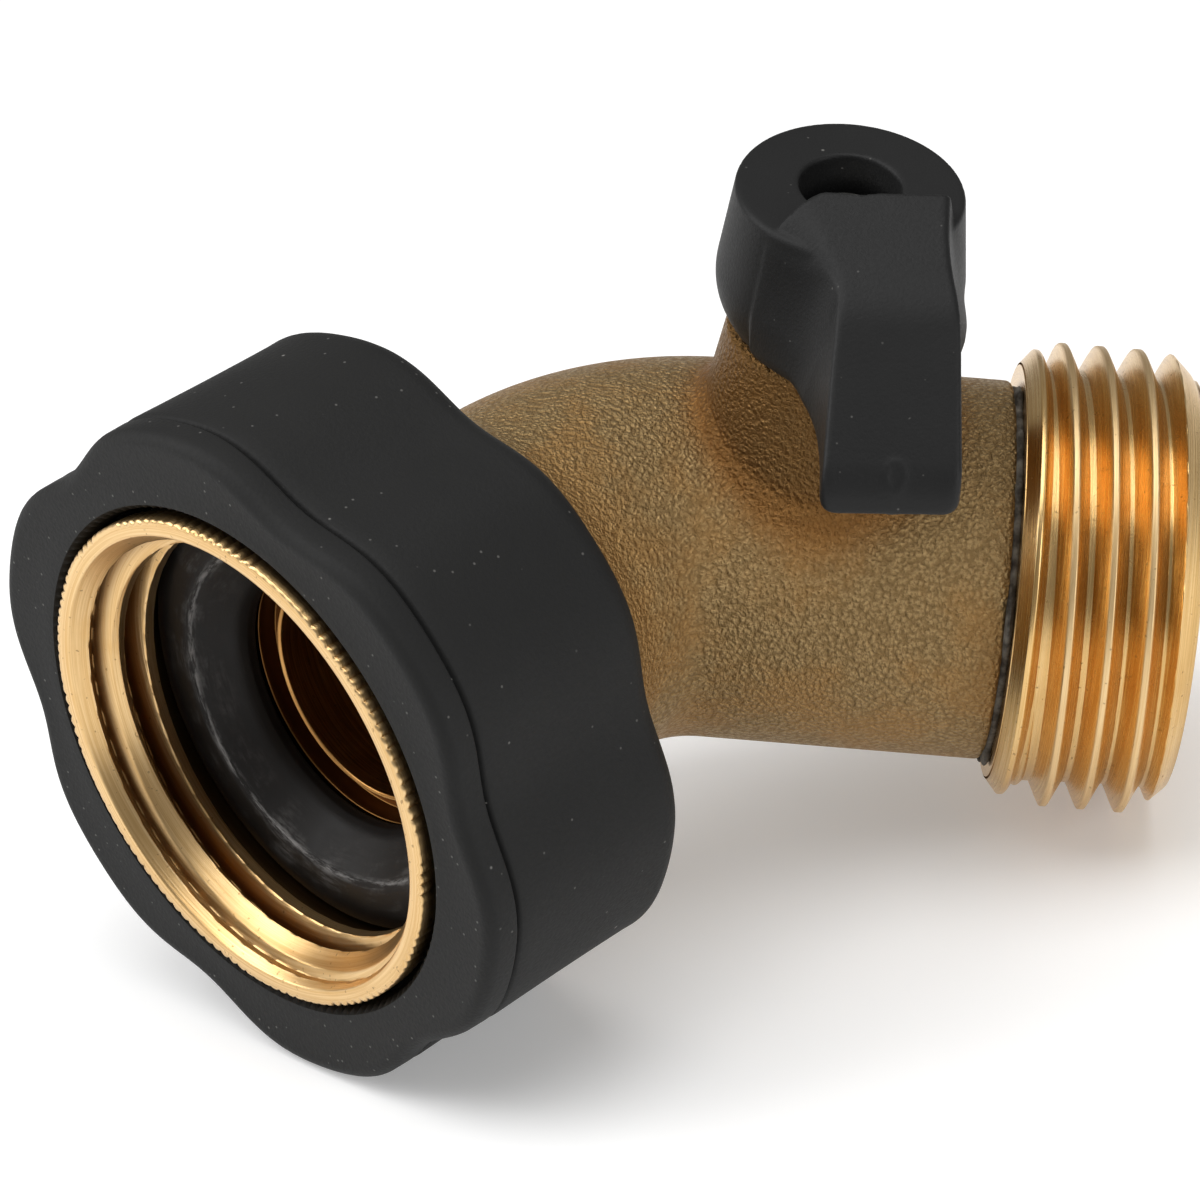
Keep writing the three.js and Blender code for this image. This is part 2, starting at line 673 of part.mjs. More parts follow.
// At rest the inlet axis is level, one grip lobe's radius up, and the valve leans about that axis
// until the last crest of the outlet thread touches the table.
const reach = THREAD_END - CORNER_X;
const droop = Math.asin(GRIP_LOBE_R / Math.hypot(reach, MALE_MAJOR_R)) - Math.atan2(MALE_MAJOR_R, reach);

const heading = new THREE.Group();
heading.rotation.z = -ELBOW_TURN;
heading.add(valve);

const leaning = new THREE.Group();
leaning.rotation.x = Math.asin(Math.sin(droop) / Math.sin(ELBOW_TURN));
leaning.add(heading);

const hoseShutOff = new THREE.Group();
hoseShutOff.add(leaning);
hoseShutOff.updateMatrixWorld(true);
const bounds = new THREE.Box3().setFromObject(hoseShutOff, true);
const middle = bounds.getCenter(new THREE.Vector3());
leaning.position.set(-middle.x, -middle.y, -bounds.min.z);
hoseShutOff.updateMatrixWorld(true);

export default hoseShutOff;
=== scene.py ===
# %% [markdown]
# # Dressing a brass hose shut-off
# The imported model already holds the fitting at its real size: an elbow with a ball valve, a swivel
# coupling in a rubber grip and a screwed-in hose thread. This lesson keeps every place and size,
# replaces the plain faceted shapes with fine surfaces worked out in numpy, and gives each piece a
# procedural finish. Lengths are written in millimetres and turned into metres in one place.

import json
import math

import bmesh
import bpy
import numpy as np
from mathutils import Matrix, Vector


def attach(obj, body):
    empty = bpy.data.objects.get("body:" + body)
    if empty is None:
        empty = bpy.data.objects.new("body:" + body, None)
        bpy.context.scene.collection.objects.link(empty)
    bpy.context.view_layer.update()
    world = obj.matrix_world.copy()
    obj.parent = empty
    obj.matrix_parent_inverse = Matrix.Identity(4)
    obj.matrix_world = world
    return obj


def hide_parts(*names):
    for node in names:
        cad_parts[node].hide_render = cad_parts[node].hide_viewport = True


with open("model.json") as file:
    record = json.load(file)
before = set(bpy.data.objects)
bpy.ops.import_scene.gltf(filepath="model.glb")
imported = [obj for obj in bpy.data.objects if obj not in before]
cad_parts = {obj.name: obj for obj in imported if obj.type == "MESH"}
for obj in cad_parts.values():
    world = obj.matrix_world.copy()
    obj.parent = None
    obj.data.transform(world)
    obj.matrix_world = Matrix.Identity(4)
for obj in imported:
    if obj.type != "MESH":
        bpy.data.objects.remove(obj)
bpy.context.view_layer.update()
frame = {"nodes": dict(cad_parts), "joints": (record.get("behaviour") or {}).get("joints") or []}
joints = {joint["name"]: joint for joint in frame["joints"]}
print("pieces in the fitting:", sorted(frame["nodes"]))

# %% [markdown]
# ## Two frames to draw in
# A fitting like this is easiest to draw along its own axes. The valve frame has the ball at its
# origin, X out of the outlet and Z up the stem. The coupling frame starts where the two legs meet,
# with Z out of the inlet mouth and Y along the stem; the outlet frame does the same for the outlet.
# All three are read from the joints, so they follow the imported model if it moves.

# %% The frames
MM = 0.001


def axes_matrix(origin, x, y, z):
    """A frame as a 4x4 matrix: three unit axes as columns, then the origin, in metres."""
    matrix = np.eye(4)
    matrix[:3, 0], matrix[:3, 1], matrix[:3, 2], matrix[:3, 3] = x, y, z, origin
    return matrix


stem_axis = np.array(joints["lever_turn"]["axis"])
inlet_axis = np.array(joints["nut_spin"]["axis"])
ball_centre = np.array(joints["lever_turn"]["pos_m"])
corner = np.array(joints["nut_spin"]["pos_m"])
outlet_axis = ball_centre - corner
outlet_axis /= np.linalg.norm(outlet_axis)
VALVE = axes_matrix(ball_centre, outlet_axis, np.cross(stem_axis, outlet_axis), stem_axis)
COUPLING = axes_matrix(corner, np.cross(stem_axis, inlet_axis), stem_axis, inlet_axis)
OUTLET = axes_matrix(ball_centre, np.cross(stem_axis, outlet_axis), stem_axis, outlet_axis)
ELBOW_TURN = math.acos(-float(inlet_axis @ outlet_axis))
CORNER_X = -np.linalg.norm(ball_centre - corner) / MM
print(f"the water turns {math.degrees(ELBOW_TURN):.1f} degrees at the elbow")


def reach(node, matrix):
    """Lowest and highest station along a frame's Z, and the largest radius, of a CAD node in mm."""
    vertices = np.empty(len(frame["nodes"][node].data.vertices) * 3)
    frame["nodes"][node].data.vertices.foreach_get("co", vertices)
    local = (vertices.reshape(-1, 3) - matrix[:3, 3]) @ matrix[:3, :3] / MM
    return local[:, 2].min(), local[:, 2].max(), np.hypot(local[:, 0], local[:, 1]).max()


OUTLET_BACK, OUTLET_END, MALE_R = reach("outlet_adapter", OUTLET)
NUT_BACK, NUT_FACE, NUT_R = reach("swivel_nut", COUPLING)
GRIP_BACK, GRIP_FRONT, GRIP_R = reach("grip_sleeve", COUPLING)
TAIL_END, FLANGE_FACE, FLANGE_R = reach("tailpiece", COUPLING)
print(f"outlet thread to {OUTLET_END:.2f} mm, radius {MALE_R:.2f} mm")
print(f"nut from {NUT_BACK:.2f} to {NUT_FACE:.2f} mm, radius {NUT_R:.2f} mm; grip radius {GRIP_R:.2f} mm")

# %% [markdown]
# ## From a grid of points to a closed mesh
# Most pieces here are a table of points: rows run along a profile, columns run round an axis. A
# ring-shaped piece closes on itself both ways, like a tyre. A solid one ends in rows that have
# shrunk to a point, whose doubled vertices are merged afterwards. Each vertex also keeps where it
# lies on the profile and round the axis, for the turning lines that its finish will need.

# %% Grid helper
def new_piece(name, world, quads):
    """Vertices in metres and quads become an object at the origin. The signed volume, the sum of
    a . (b x c) over the faces, says whether the faces point out, and they are turned if not."""
    centred = world - world.mean(axis=0)
    a, b, c, d = (centred[quads[:, i]] for i in range(4))
    volume = (a * np.cross(b, c)).sum() + (a * np.cross(c, d)).sum()
    if volume < 0:
        quads = quads[:, ::-1]
    mesh = bpy.data.meshes.new(name)
    mesh.vertices.add(len(world))
    mesh.vertices.foreach_set("co", world.ravel())
    mesh.loops.add(quads.size)
    mesh.loops.foreach_set("vertex_index", quads.ravel().astype(np.int32))
    mesh.polygons.add(len(quads))
    mesh.polygons.foreach_set("loop_start", np.arange(0, quads.size, 4, dtype=np.int32))
    mesh.update(calc_edges=True)
    piece = bpy.data.objects.new(name, mesh)
    bpy.context.scene.collection.objects.link(piece)
    return piece


def place(points, matrix):
    """Points in mm in a frame become points in metres in the row's frame: rotation, then origin."""
    return (points.reshape(-1, 3) * MM) @ matrix[:3, :3].T + matrix[:3, 3]


def store(piece, name, values):
    """Keeps one number, or three, for each vertex under a name that a material can read."""
    values = np.asarray(values, np.float32).reshape(len(piece.data.vertices), -1)
    kind, key = ("FLOAT", "value") if values.shape[1] == 1 else ("FLOAT_VECTOR", "vector")
    piece.data.attributes.new(name, kind, "POINT").data.foreach_set(key, values.ravel())


def grid_piece(name, points, matrix, ring=True):
    """Points [row, column, xyz] in mm become quads. Columns always close; rows close on a ring."""
    rows, columns = points.shape[:2]
    row, column = np.meshgrid(np.arange(rows if ring else rows - 1), np.arange(columns), indexing="ij")
    next_row, next_column = (row + 1) % rows, (column + 1) % columns
    quads = np.stack([
        row * columns + column,
        row * columns + next_column,
        next_row * columns + next_column,
        next_row * columns + column,
    ], axis=-1).reshape(-1, 4)
    piece = new_piece(name, place(points, matrix), quads)
    steps = np.linalg.norm(np.diff(points[:, 0], axis=0), axis=1)
    along = np.concatenate([[0.0], np.cumsum(steps)])
    angle = np.arange(columns) * (2 * math.pi / columns)
    store(piece, "turned", np.stack([
        np.repeat(along, columns),
        np.tile(np.cos(angle), rows),
        np.tile(np.sin(angle), rows),
    ], axis=-1))
    if not ring:
        soft = bmesh.new()
        soft.from_mesh(piece.data)
        bmesh.ops.remove_doubles(soft, verts=soft.verts, dist=1e-7)
        soft.to_mesh(piece.data)
        soft.free()
    return piece


def shade(piece, sharp_degrees=35):
    """Smooth shading, with edges kept sharp where two faces meet at more than an angle."""
    piece.data.polygons.foreach_set("use_smooth", np.ones(len(piece.data.polygons), bool))
    piece.data.set_sharp_from_angle(angle=math.radians(sharp_degrees))
    return piece


# %% [markdown]
# ## Rounded profiles
# Nothing that was turned or moulded has a perfectly sharp edge, and it is the thin bright line on
# an edge that makes metal look like metal. So a profile is listed as corners with a fillet each,
# and every corner becomes a short curve before the profile is carried round its axis.

# %% Profile and turning helpers
def smoothstep(low, high, value):
    """0 below low, 1 above high, and 3t^2 - 2t^3 between them."""
    t = np.clip((value - low) / (high - low), 0, 1)
    return t * t * (3 - 2 * t)


def rounded(corners, steps=4, longest=None):
    """Corners (radius, height, fillet) of a closed profile become a smooth loop. A fillet of f
    leaves its corner's edges f away from it and joins them by a quadratic curve."""
    points = np.array([corner[:2] for corner in corners], float)
    fillets = np.array([corner[2] for corner in corners], float)
    before = np.roll(points, 1, axis=0) - points
    after = np.roll(points, -1, axis=0) - points
    before_length = np.linalg.norm(before, axis=1)
    after_length = np.linalg.norm(after, axis=1)
    cut = np.minimum(fillets, 0.45 * np.minimum(before_length, after_length))
    start = points + before / before_length[:, None] * cut[:, None]
    end = points + after / after_length[:, None] * cut[:, None]
    t = np.linspace(0, 1, steps + 1)[None, :, None]
    curves = (1 - t) ** 2 * start[:, None] + 2 * t * (1 - t) * points[:, None] + t ** 2 * end[:, None]
    loop = curves.reshape(-1, 2)
    loop = loop[np.linalg.norm(loop - np.roll(loop, 1, axis=0), axis=1) > 1e-6]
    return loop if longest is None else resampled(loop, longest)


def resampled(loop, longest):
    """Adds points to a closed loop so that no step is longer than longest."""
    ahead = np.roll(loop, -1, axis=0)
    pieces = np.maximum(1, np.ceil(np.linalg.norm(ahead - loop, axis=1) / longest).astype(int))
    start = np.repeat(loop, pieces, axis=0)
    finish = np.repeat(ahead, pieces, axis=0)
    share = np.concatenate([np.arange(count) / count for count in pieces])[:, None]
    return start + (finish - start) * share


def angles(columns):
    """Evenly spaced angles once round."""
    return np.arange(columns) * (2 * math.pi / columns)


def around(radius, height, angle):
    """Points round Z: x = radius cos, y = radius sin, z = height. Either may vary with the angle."""
    x, y = radius * np.cos(angle), radius * np.sin(angle)
    return np.stack(np.broadcast_arrays(x, y, height), axis=-1)


def stacked(rows, angle):
    """Rows of (radius, height), where either may vary with the angle, become a grid of points."""
    return np.stack([around(radius, height, angle) for radius, height in rows])


def turn(loop, columns):
    """A loop of (radius, height) carried round Z."""
    return around(loop[:, :1], loop[:, 1:], angles(columns))


def radius_of(grid):
    """How far each point of a grid lies from the axis."""
    return np.hypot(grid[..., 0], grid[..., 1])

# %% [markdown]
# ## Shapes that flow together
# The casting and the moulded lever have no seams: one form runs into the next through a fillet.
# Joining meshes would leave a hard line there. Instead each is written as a field, a formula that is
# negative inside the material and grows like the distance outside it. Two fields join with a soft
# minimum, which is the fillet. A net of faces is then laid over a fine lattice: each cell that the
# surface crosses gets one vertex, at the average of its crossings, and each lattice edge that
# crosses the surface gets the quad of its four cells. Newton steps pull the vertices onto the surface.

# %% Field helpers
def soft_min(a, b, width):
    """The smaller of two fields, with a fillet where they differ by less than width."""
    blend = np.clip(0.5 + 0.5 * (b - a) / width, 0, 1)
    return b + (a - b) * blend - width * blend * (1 - blend)


def soft_max(a, b, width):
    """The larger of two fields, with its edge rounded over width."""
    return -soft_min(-a, -b, width)


def surface_net(name, field, low, high, step, matrix):
    """The zero surface of field(x, y, z) between two corners in mm, on a lattice of one step."""
    axes = [np.arange(low[i], high[i] + step, step) for i in range(3)]
    values = field(*np.meshgrid(*axes, indexing="ij"))
    shape = np.array(values.shape)
    steps = np.array([[i, j, k] for i in (0, 1) for j in (0, 1) for k in (0, 1)])
    corners = [values[i:shape[0] - 1 + i, j:shape[1] - 1 + j, k:shape[2] - 1 + k] for i, j, k in steps]
    inside = sum((corner < 0).astype(np.int8) for corner in corners)
    cells = np.argwhere((inside > 0) & (inside < 8))
    number = np.full(shape - 1, -1)
    number[tuple(cells.T)] = np.arange(len(cells))
    at_corner = np.stack([corner[tuple(cells.T)] for corner in corners], axis=1)
    total, count = np.zeros((len(cells), 3)), np.zeros((len(cells), 1))
    for first in range(8):
        for second in range(first + 1, 8):
            way = steps[second] - steps[first]
            if abs(way).sum() == 1:
                a, b = at_corner[:, first:first + 1], at_corner[:, second:second + 1]
                crosses = (a < 0) != (b < 0)
                share = np.where(crosses, a / np.where(crosses, a - b, 1), 0)
                total += crosses * (steps[first] + share * way)
                count += crosses
    points = np.array(low) + (cells + total / count) * step
    quads = []
    for axis in range(3):
        u, v = (axis + 1) % 3, (axis + 2) % 3
        ahead = np.roll(values, -1, axis=axis)
        edges = np.argwhere((values < 0) != (ahead < 0))
        edges = edges[(edges[:, axis] < shape[axis] - 1) & (edges[:, u] > 0) & (edges[:, v] > 0)]
        unit_u, unit_v = np.eye(3, dtype=int)[u], np.eye(3, dtype=int)[v]
        around = [edges - unit_u - unit_v, edges - unit_v, edges, edges - unit_u]
        quad = np.stack([number[tuple(cell.T)] for cell in around], axis=1)
        flip = values[tuple(edges.T)] > 0
        quad[flip] = quad[flip][:, ::-1]
        quads.append(quad)
    nudge = 0.05 * step
    for _ in range(4):
        here = field(*points.T)
        slope = [field(*(points + nudge * np.eye(3)[i]).T) - here for i in range(3)]
        slope = np.stack(slope, axis=1) / nudge
        move = -(here / np.maximum((slope ** 2).sum(axis=1), 0.05))[:, None] * slope
        length = np.linalg.norm(move, axis=1, keepdims=True)
        points += move * np.minimum(1, 0.5 * step / np.maximum(length, 1e-9))
    piece = new_piece(name, place(points, matrix), np.concatenate(quads))
    print(f"{name}: {len(points)} vertices on a {step} mm lattice")
    return piece, points


# %% [markdown]
# ## The cast body
# The body is a sand casting that was blasted clean: one leg turns into the other round an elbow, and
# a boss stands up for the stem. Its field is the distance to the run's centreline less the radius.
# In the plane of the legs the centreline is a line, an arc and a line, so the distance is to
# whichever of the three the point lies beside.

# %% Body field
BODY_R, BEND_R, FAR = 11.04, 13.0, 99.0
BODY_INLET_END, BODY_OUTLET_END = 15.4, 11.0
BOSS_TOP, BOSS_TOP_R, BOSS_FOOT_R, BOSS_FOOT = 16.8, 6.0, 6.9, 11.0
LIP_PROUD, LIP_TOP, LIP_FOOT = 0.35, 0.75, 0.35
FLARE, FLARE_START, FLARE_END = 1.3, 7.5, 12.0
CAVITY_R, CAVITY_START, PASSAGE_R = 9.2, -7.4, 5.4
TAIL_BORE_R, TAIL_BORE_START = 8.9, 8.3
STEM_SEAT_R, STEM_HOLE_R, STEM_SEAT_TOP, STEM_CLEAR_R = 4.4, 3.3, 10.15, 5.0
bend_start = CORNER_X + BEND_R * math.tan(ELBOW_TURN / 2)
inlet_way = np.array([-math.cos(ELBOW_TURN), -math.sin(ELBOW_TURN)])
inlet_tangent = np.array([CORNER_X, 0.0]) + inlet_way * BEND_R * math.tan(ELBOW_TURN / 2)


def inlet_station(x, y):
    """How far a point lies along the inlet leg from the corner of the elbow."""
    return (x - CORNER_X) * inlet_way[0] + y * inlet_way[1]


def off_centreline(x, y, z, widening=0.0):
    """Distance from the run's centreline: the least of those to the outlet's line, the inlet's line
    and the arc. Inside the bend the two lines' distances meet, in the crease that the casting shows."""
    past_arc = (x - inlet_tangent[0]) * inlet_way[0] + (y - inlet_tangent[1]) * inlet_way[1]
    across = (x - inlet_tangent[0]) * inlet_way[1] - (y - inlet_tangent[1]) * inlet_way[0]
    round_bend = np.hypot(x - bend_start, y + BEND_R) - BEND_R
    from_outlet = np.where(x > bend_start, np.hypot(y, z), FAR)
    from_inlet = np.where(past_arc > 0, np.hypot(across, z) - widening, FAR)
    from_arc = np.where((x <= bend_start) & (past_arc <= 0), np.hypot(round_bend, z), FAR)
    return np.minimum(soft_min(from_outlet, from_inlet, 0.9), from_arc)


def body_outside(x, y, z):
    """The pipe, widening a little behind the nut, softly joined to the stem's tapered boss."""
    station = inlet_station(x, y)
    pipe = off_centreline(x, y, z, FLARE * smoothstep(FLARE_START, FLARE_END, station)) - BODY_R
    pipe = soft_max(pipe, x - BODY_OUTLET_END, 0.4)
    pipe = soft_max(pipe, station - BODY_INLET_END, 0.3)
    taper = BOSS_FOOT_R + (BOSS_TOP_R - BOSS_FOOT_R) * (z - BOSS_FOOT) / (BOSS_TOP - BOSS_FOOT)
    lip = LIP_PROUD * smoothstep(LIP_TOP, LIP_FOOT, pipe)
    boss = soft_max(np.hypot(x, y) - taper - lip, z - BOSS_TOP, 0.3)
    boss = np.maximum(boss, -z)
    return pipe, boss


def body_field(x, y, z):
    """The outside less the water way, the ball's chamber, the tailpiece's bore and the stem's hole."""
    pipe, boss = body_outside(x, y, z)
    outside = soft_min(pipe, boss, 0.6)
    way = off_centreline(x, y, z) - PASSAGE_R
    chamber = np.maximum(np.hypot(y, z) - CAVITY_R, CAVITY_START - x)
    across = (x - CORNER_X) * inlet_way[1] - y * inlet_way[0]
    tail = np.maximum(np.hypot(across, z) - TAIL_BORE_R, TAIL_BORE_START - inlet_station(x, y))
    stem_hole = np.maximum(np.hypot(x, y) - np.where(z < STEM_SEAT_TOP, STEM_SEAT_R, STEM_HOLE_R), -z)
    hollow = np.minimum(np.minimum(way, chamber), np.minimum(tail, stem_hole))
    return soft_max(outside, -hollow, 0.25)


body, body_points = surface_net(
    "cast_body", body_field, (-27.5, -25.5, -12.6), (11.2, 12.0, 17.4), 0.3, VALVE)
shade(body, 55)
pipe, boss = body_outside(*body_points.T)
beyond_stem = np.hypot(body_points[:, 0], body_points[:, 1]) > STEM_CLEAR_R
# painted shade: the crease where the boss meets the pipe is darkened in the cast brass finish, and so is
# the boss itself
store(body, "crease_shade", np.exp(-(pipe - boss) ** 2) * beyond_stem)
store(body, "boss", smoothstep(-0.5, 0.8, pipe - boss))

# %% [markdown]
# ## The thumb lever
# The lever is one moulding: a round hub with a recess for its screw, and a blade that starts as a
# ridge across the hub and slopes down to a thin tip. The hub is a field of its radius and height.
# The blade is a field of its sections: at each distance out it has a left and a right side, a top
# and an underside, and each side leans out towards the hub below. A shoulder, a tilted plane cut off
# by the hub's own wall, fills the side that the thumb pushes. A wide soft minimum makes one smooth
# flank of blade and shoulder, and a narrow one keeps the notch crisp where the flank meets the rim.

# %% Lever field
HUB_BASE, HUB_TOP, HUB_TOP_R = 17.3, 26.15, 6.34
HUB_WIDE, HUB_WIDE_R, HUB_BASE_R = 19.5, 7.1, 5.9
RECESS_R, RECESS_FLOOR, RECESS_BACK = 2.85, 22.3, 0.3
LEVER_YAW = math.radians(6)
RIDGE_OUT, CREASE_OUT, TIP_OUT = 2.5, 9.2, 16.7
RIDGE_HEIGHT, CREASE_HEIGHT, TIP_HEIGHT = 27.75, 24.9, 18.1
NEAR_FALL, FAR_FALL, LONGEST_DROP = 0.425, 0.902, 9.0
CORNER_LEFT, CORNER_OUT, CORNER_HEIGHT = 2.43, 2.7, 27.66
SCREW_HOLE_R, SOCKET_HALF, SOCKET_TOP = 1.4, 2.05, 21.9
GATE_SIDE, GATE_OUT, GATE_R = 1.6, 15.9, 0.5

# distance out: where the blade's features lie
BLADE_OUT = [RIDGE_OUT, 4.2, 6.4, 9.2, 11.5, 14.0, TIP_OUT]
# its upper left and right edges, and how far each side leans out below them
BLADE_LEFT = [-2.5, -1.45, -1.2, -1.42, -1.8, -2.1, -2.45]
BLADE_RIGHT = [5.1, 4.85, 4.85, 5.25, 5.25, 5.25, 5.25]
LEAN_LEFT = [0.30, 0.34, 0.36, 0.22, 0.11, 0.04, 0.0]
LEAN_RIGHT = [0.22, 0.2, 0.12, 0.03, 0.0, 0.0, 0.0]
# the underside, in fewer steps
UNDER_OUT = [0, 5, 7.5, 12, TIP_OUT]
UNDER_HEIGHT = [17.7, 17.7, 18.3, 17.7, 16.5]


def along_blade(out, values):
    """Values at BLADE_OUT, read between them with a short running average so that no kink shows."""
    near = [np.interp(out + shift, BLADE_OUT, values) for shift in (-1.0, -0.5, 0.0, 0.5, 1.0)]
    return sum(near) / len(near)


def lever_field(x, y, height):
    """Hub joined to blade, less the screw's recess and hole and the square socket for the stem."""
    side = x * math.cos(LEVER_YAW) + y * math.sin(LEVER_YAW)
    out = x * math.sin(LEVER_YAW) - y * math.cos(LEVER_YAW)
    radius = np.hypot(x, y)
    upper = (radius - HUB_WIDE_R) + (height - HUB_WIDE) * (HUB_WIDE_R - HUB_TOP_R) / (HUB_TOP - HUB_WIDE)
    inwards = (HUB_WIDE_R - HUB_BASE_R) / (HUB_WIDE - HUB_BASE)
    lower = (radius - HUB_WIDE_R + (HUB_WIDE - height) * inwards) * 0.9
    wall = soft_max(soft_max(upper, lower, 0.9), HUB_BASE - height, 0.4)
    top = np.interp(out, [RIDGE_OUT, CREASE_OUT, TIP_OUT], [RIDGE_HEIGHT, CREASE_HEIGHT, TIP_HEIGHT])
    near_slope = (height - RIDGE_HEIGHT + NEAR_FALL * (out - RIDGE_OUT)) * 0.92
    far_slope = (height - CREASE_HEIGHT + FAR_FALL * (out - CREASE_OUT)) * 0.743
    top_slope = soft_max(near_slope, far_slope, 0.35)
    hub = soft_max(soft_max(wall, height - HUB_TOP, 0.3), near_slope + 0.4, 0.2)
    drop = np.clip(top - height, 0, LONGEST_DROP)
    left = (along_blade(out, BLADE_LEFT) - along_blade(out, LEAN_LEFT) * drop - side) * 0.9
    right = (side - along_blade(out, BLADE_RIGHT) - along_blade(out, LEAN_RIGHT) * drop) * 0.95
    under = (np.interp(out, UNDER_OUT, UNDER_HEIGHT) - height) * 0.95
    end = out - TIP_OUT + 0.25 * (height - 17)
    back = RIDGE_OUT - out - 0.35 * (RIDGE_HEIGHT - height)
    from_corner = side + CORNER_LEFT, out - CORNER_OUT, height - CORNER_HEIGHT
    roof = 0.85 * from_corner[2] + 0.464 * from_corner[1] - 0.244 * from_corner[0]
    behind = -0.495 * from_corner[0] - 0.869 * from_corner[1]
    shoulder = soft_max(soft_max(roof, wall, 1.1), side - 1.5, 0.3)
    blade = soft_min(shoulder, soft_max(left, right, 0.3), 2.4)
    blade = soft_max(soft_max(blade, top_slope, 0.35), soft_max(back, behind, 0.2), 0.25)
    blade = soft_max(soft_max(blade, under, 0.8), end, 0.7)
    solid = soft_min(hub, blade, 0.15)
    recess = np.maximum(np.hypot(x, y - RECESS_BACK) - RECESS_R, RECESS_FLOOR - height)
    screw_hole = radius - SCREW_HOLE_R
    socket = np.maximum(np.maximum(abs(x), abs(y)) - SOCKET_HALF, height - SOCKET_TOP)
    solid = soft_max(solid, -np.minimum(recess, np.minimum(screw_hole, socket)), 0.25)
    gate = np.hypot(side - GATE_SIDE, out - GATE_OUT) - GATE_R
    return solid - 0.05 * np.exp(-(gate / 0.17) ** 2)


lever, lever_points = surface_net(
    "thumb_lever", lever_field, (-8.0, -18.2, 15.4), (8.8, 8.0, 28.6), 0.17, VALVE)
shade(lever, 60)
lever_out = lever_points[:, 0] * math.sin(LEVER_YAW) - lever_points[:, 1] * math.cos(LEVER_YAW)
store(lever, "handled", smoothstep(8, 15, lever_out))

# %% [markdown]
# ## The outlet thread
# A hose thread is coarse, with straight flanks and narrow flats. Its height above the root is a wave
# of the distance along the axis minus the pitch times the turn: going once round moves the pattern
# on by one pitch. The chamfer at the end is a cone, and the smaller of cone and thread wins, as it
# does on the lathe.

# %% Outlet adapter
PITCH = 25.4 / 11.5
OUTLET_SEAM = 11.4
OUTLET_BORE_R, SEAT_BORE_R, SPIGOT_R = 9.6, 4.7, 8.9
COLLAR_R, COLLAR_CHAMFER = MALE_R - 0.5, 0.9
CONE_LENGTH, CONE_SLOPE = 1.8, 0.95
MALE_ROOT_R = MALE_R - 1.58
FIRST_CREST = OUTLET_SEAM + 2.02


def thread_height(distance, crest=0.14, root=0.1):
    """0 at the root and 1 on the crest: straight flanks between two flats, with eased corners."""
    place_in_pitch = np.abs((distance / PITCH) % 1 - 0.5) * 2
    flank = np.clip((place_in_pitch - root) / (1 - crest - root), 0, 1)
    return 0.8 * flank + 0.2 * flank * flank * (3 - 2 * flank)


def adapter_points(columns=220):
    """Outside from the collar to the end face, then back through the bore, closed on itself."""
    angle = angles(columns)
    station = np.linspace(OUTLET_SEAM + 0.06, OUTLET_END - 0.06, 230)[:, None]
    from_seam = station - OUTLET_SEAM
    wave = thread_height(station - PITCH * angle / (2 * math.pi) - FIRST_CREST)
    thread = MALE_ROOT_R + (MALE_R - MALE_ROOT_R) * wave * smoothstep(1.1, 2.3, from_seam)
    collar = COLLAR_R - (COLLAR_R - MALE_ROOT_R) * smoothstep(0.95, 1.75, from_seam)
    collar = collar - COLLAR_CHAMFER * (1 - np.clip(from_seam / 0.75, 0, 1))
    cone = MALE_R + 0.1 - (station - OUTLET_END + CONE_LENGTH) * CONE_SLOPE
    outer = around(np.minimum(np.maximum(thread, collar), cone), station, angle)
    bore = rounded([
        (OUTLET_BORE_R + 2.2, OUTLET_END, 0.1),
        (OUTLET_BORE_R + 0.6, OUTLET_END, 0.15),
        (OUTLET_BORE_R, OUTLET_END - 0.6, 0.15),
        (OUTLET_BORE_R, OUTLET_SEAM + 3, 0.4),
        (SEAT_BORE_R, OUTLET_SEAM, 0.3),
        (SEAT_BORE_R, OUTLET_BACK, 0.15),
        (SPIGOT_R, OUTLET_BACK, 0.3),
        (SPIGOT_R, OUTLET_SEAM, 0.02),
        (COLLAR_R - 0.95, OUTLET_SEAM, 0.02),
    ], 4, 0.7)
    start = int(np.argmax(bore[:, 1] * 100 + bore[:, 0]))
    return np.concatenate([outer, turn(np.roll(bore, -start, axis=0), columns)])


adapter_grid = adapter_points()
adapter = shade(grid_piece("hose_thread", adapter_grid, OUTLET), 60)
adapter_radius = radius_of(adapter_grid)
store(adapter, "worn", smoothstep(MALE_R - 0.2, MALE_R - 0.05, adapter_radius))
store(adapter, "tarnish_and_shade", smoothstep(MALE_R - 0.9, MALE_ROOT_R + 0.1, adapter_radius) * 0.14)
print("hose thread:", len(adapter.data.polygons), "faces")

# %% [markdown]
# ## Sealant at the seam
# Thread sealant squeezes out unevenly where the adapter meets the casting; here it is coloured dark grey to
# near black.
# It is a ring whose size changes round the seam by a few sine waves, like a hand-laid bead.

# %% Sealant bead
SEALANT_DAB = 0.75


def uneven(angle, seed):
    """A smooth wandering value round a circle: seven sine waves with seeded sizes and phases."""
    draw = np.random.default_rng(seed)
    sizes, phases = draw.uniform(0.4, 1, 7), draw.uniform(0, 2 * math.pi, 7)
    waves = sum(size * np.sin(count * angle + phase)
                for count, size, phase in zip((5, 7, 10, 13, 15, 18, 20), sizes, phases))
    return waves / sizes.sum()


def sealant_points(columns=360):
    """A flat section between the two faces whose outer edge wanders by a few tenths of a mm."""
    angle = angles(columns)
    dab = SEALANT_DAB * smoothstep(0.12, 0.42, uneven(angle, 5))
    low, high, inner = BODY_OUTLET_END - 0.1, OUTLET_SEAM + 0.02, SPIGOT_R + 0.05
    rows = [(BODY_R - 0.6 + (0.3 + dab) * np.sin(bulge) ** 0.6,
             low + (high - low) * (1 - np.cos(bulge)) / 2) for bulge in np.linspace(0, math.pi, 7)]
    return stacked([(inner, low), *rows, (inner, high)], angle)


sealant = shade(grid_piece("seam_sealant", sealant_points(), OUTLET), 60)

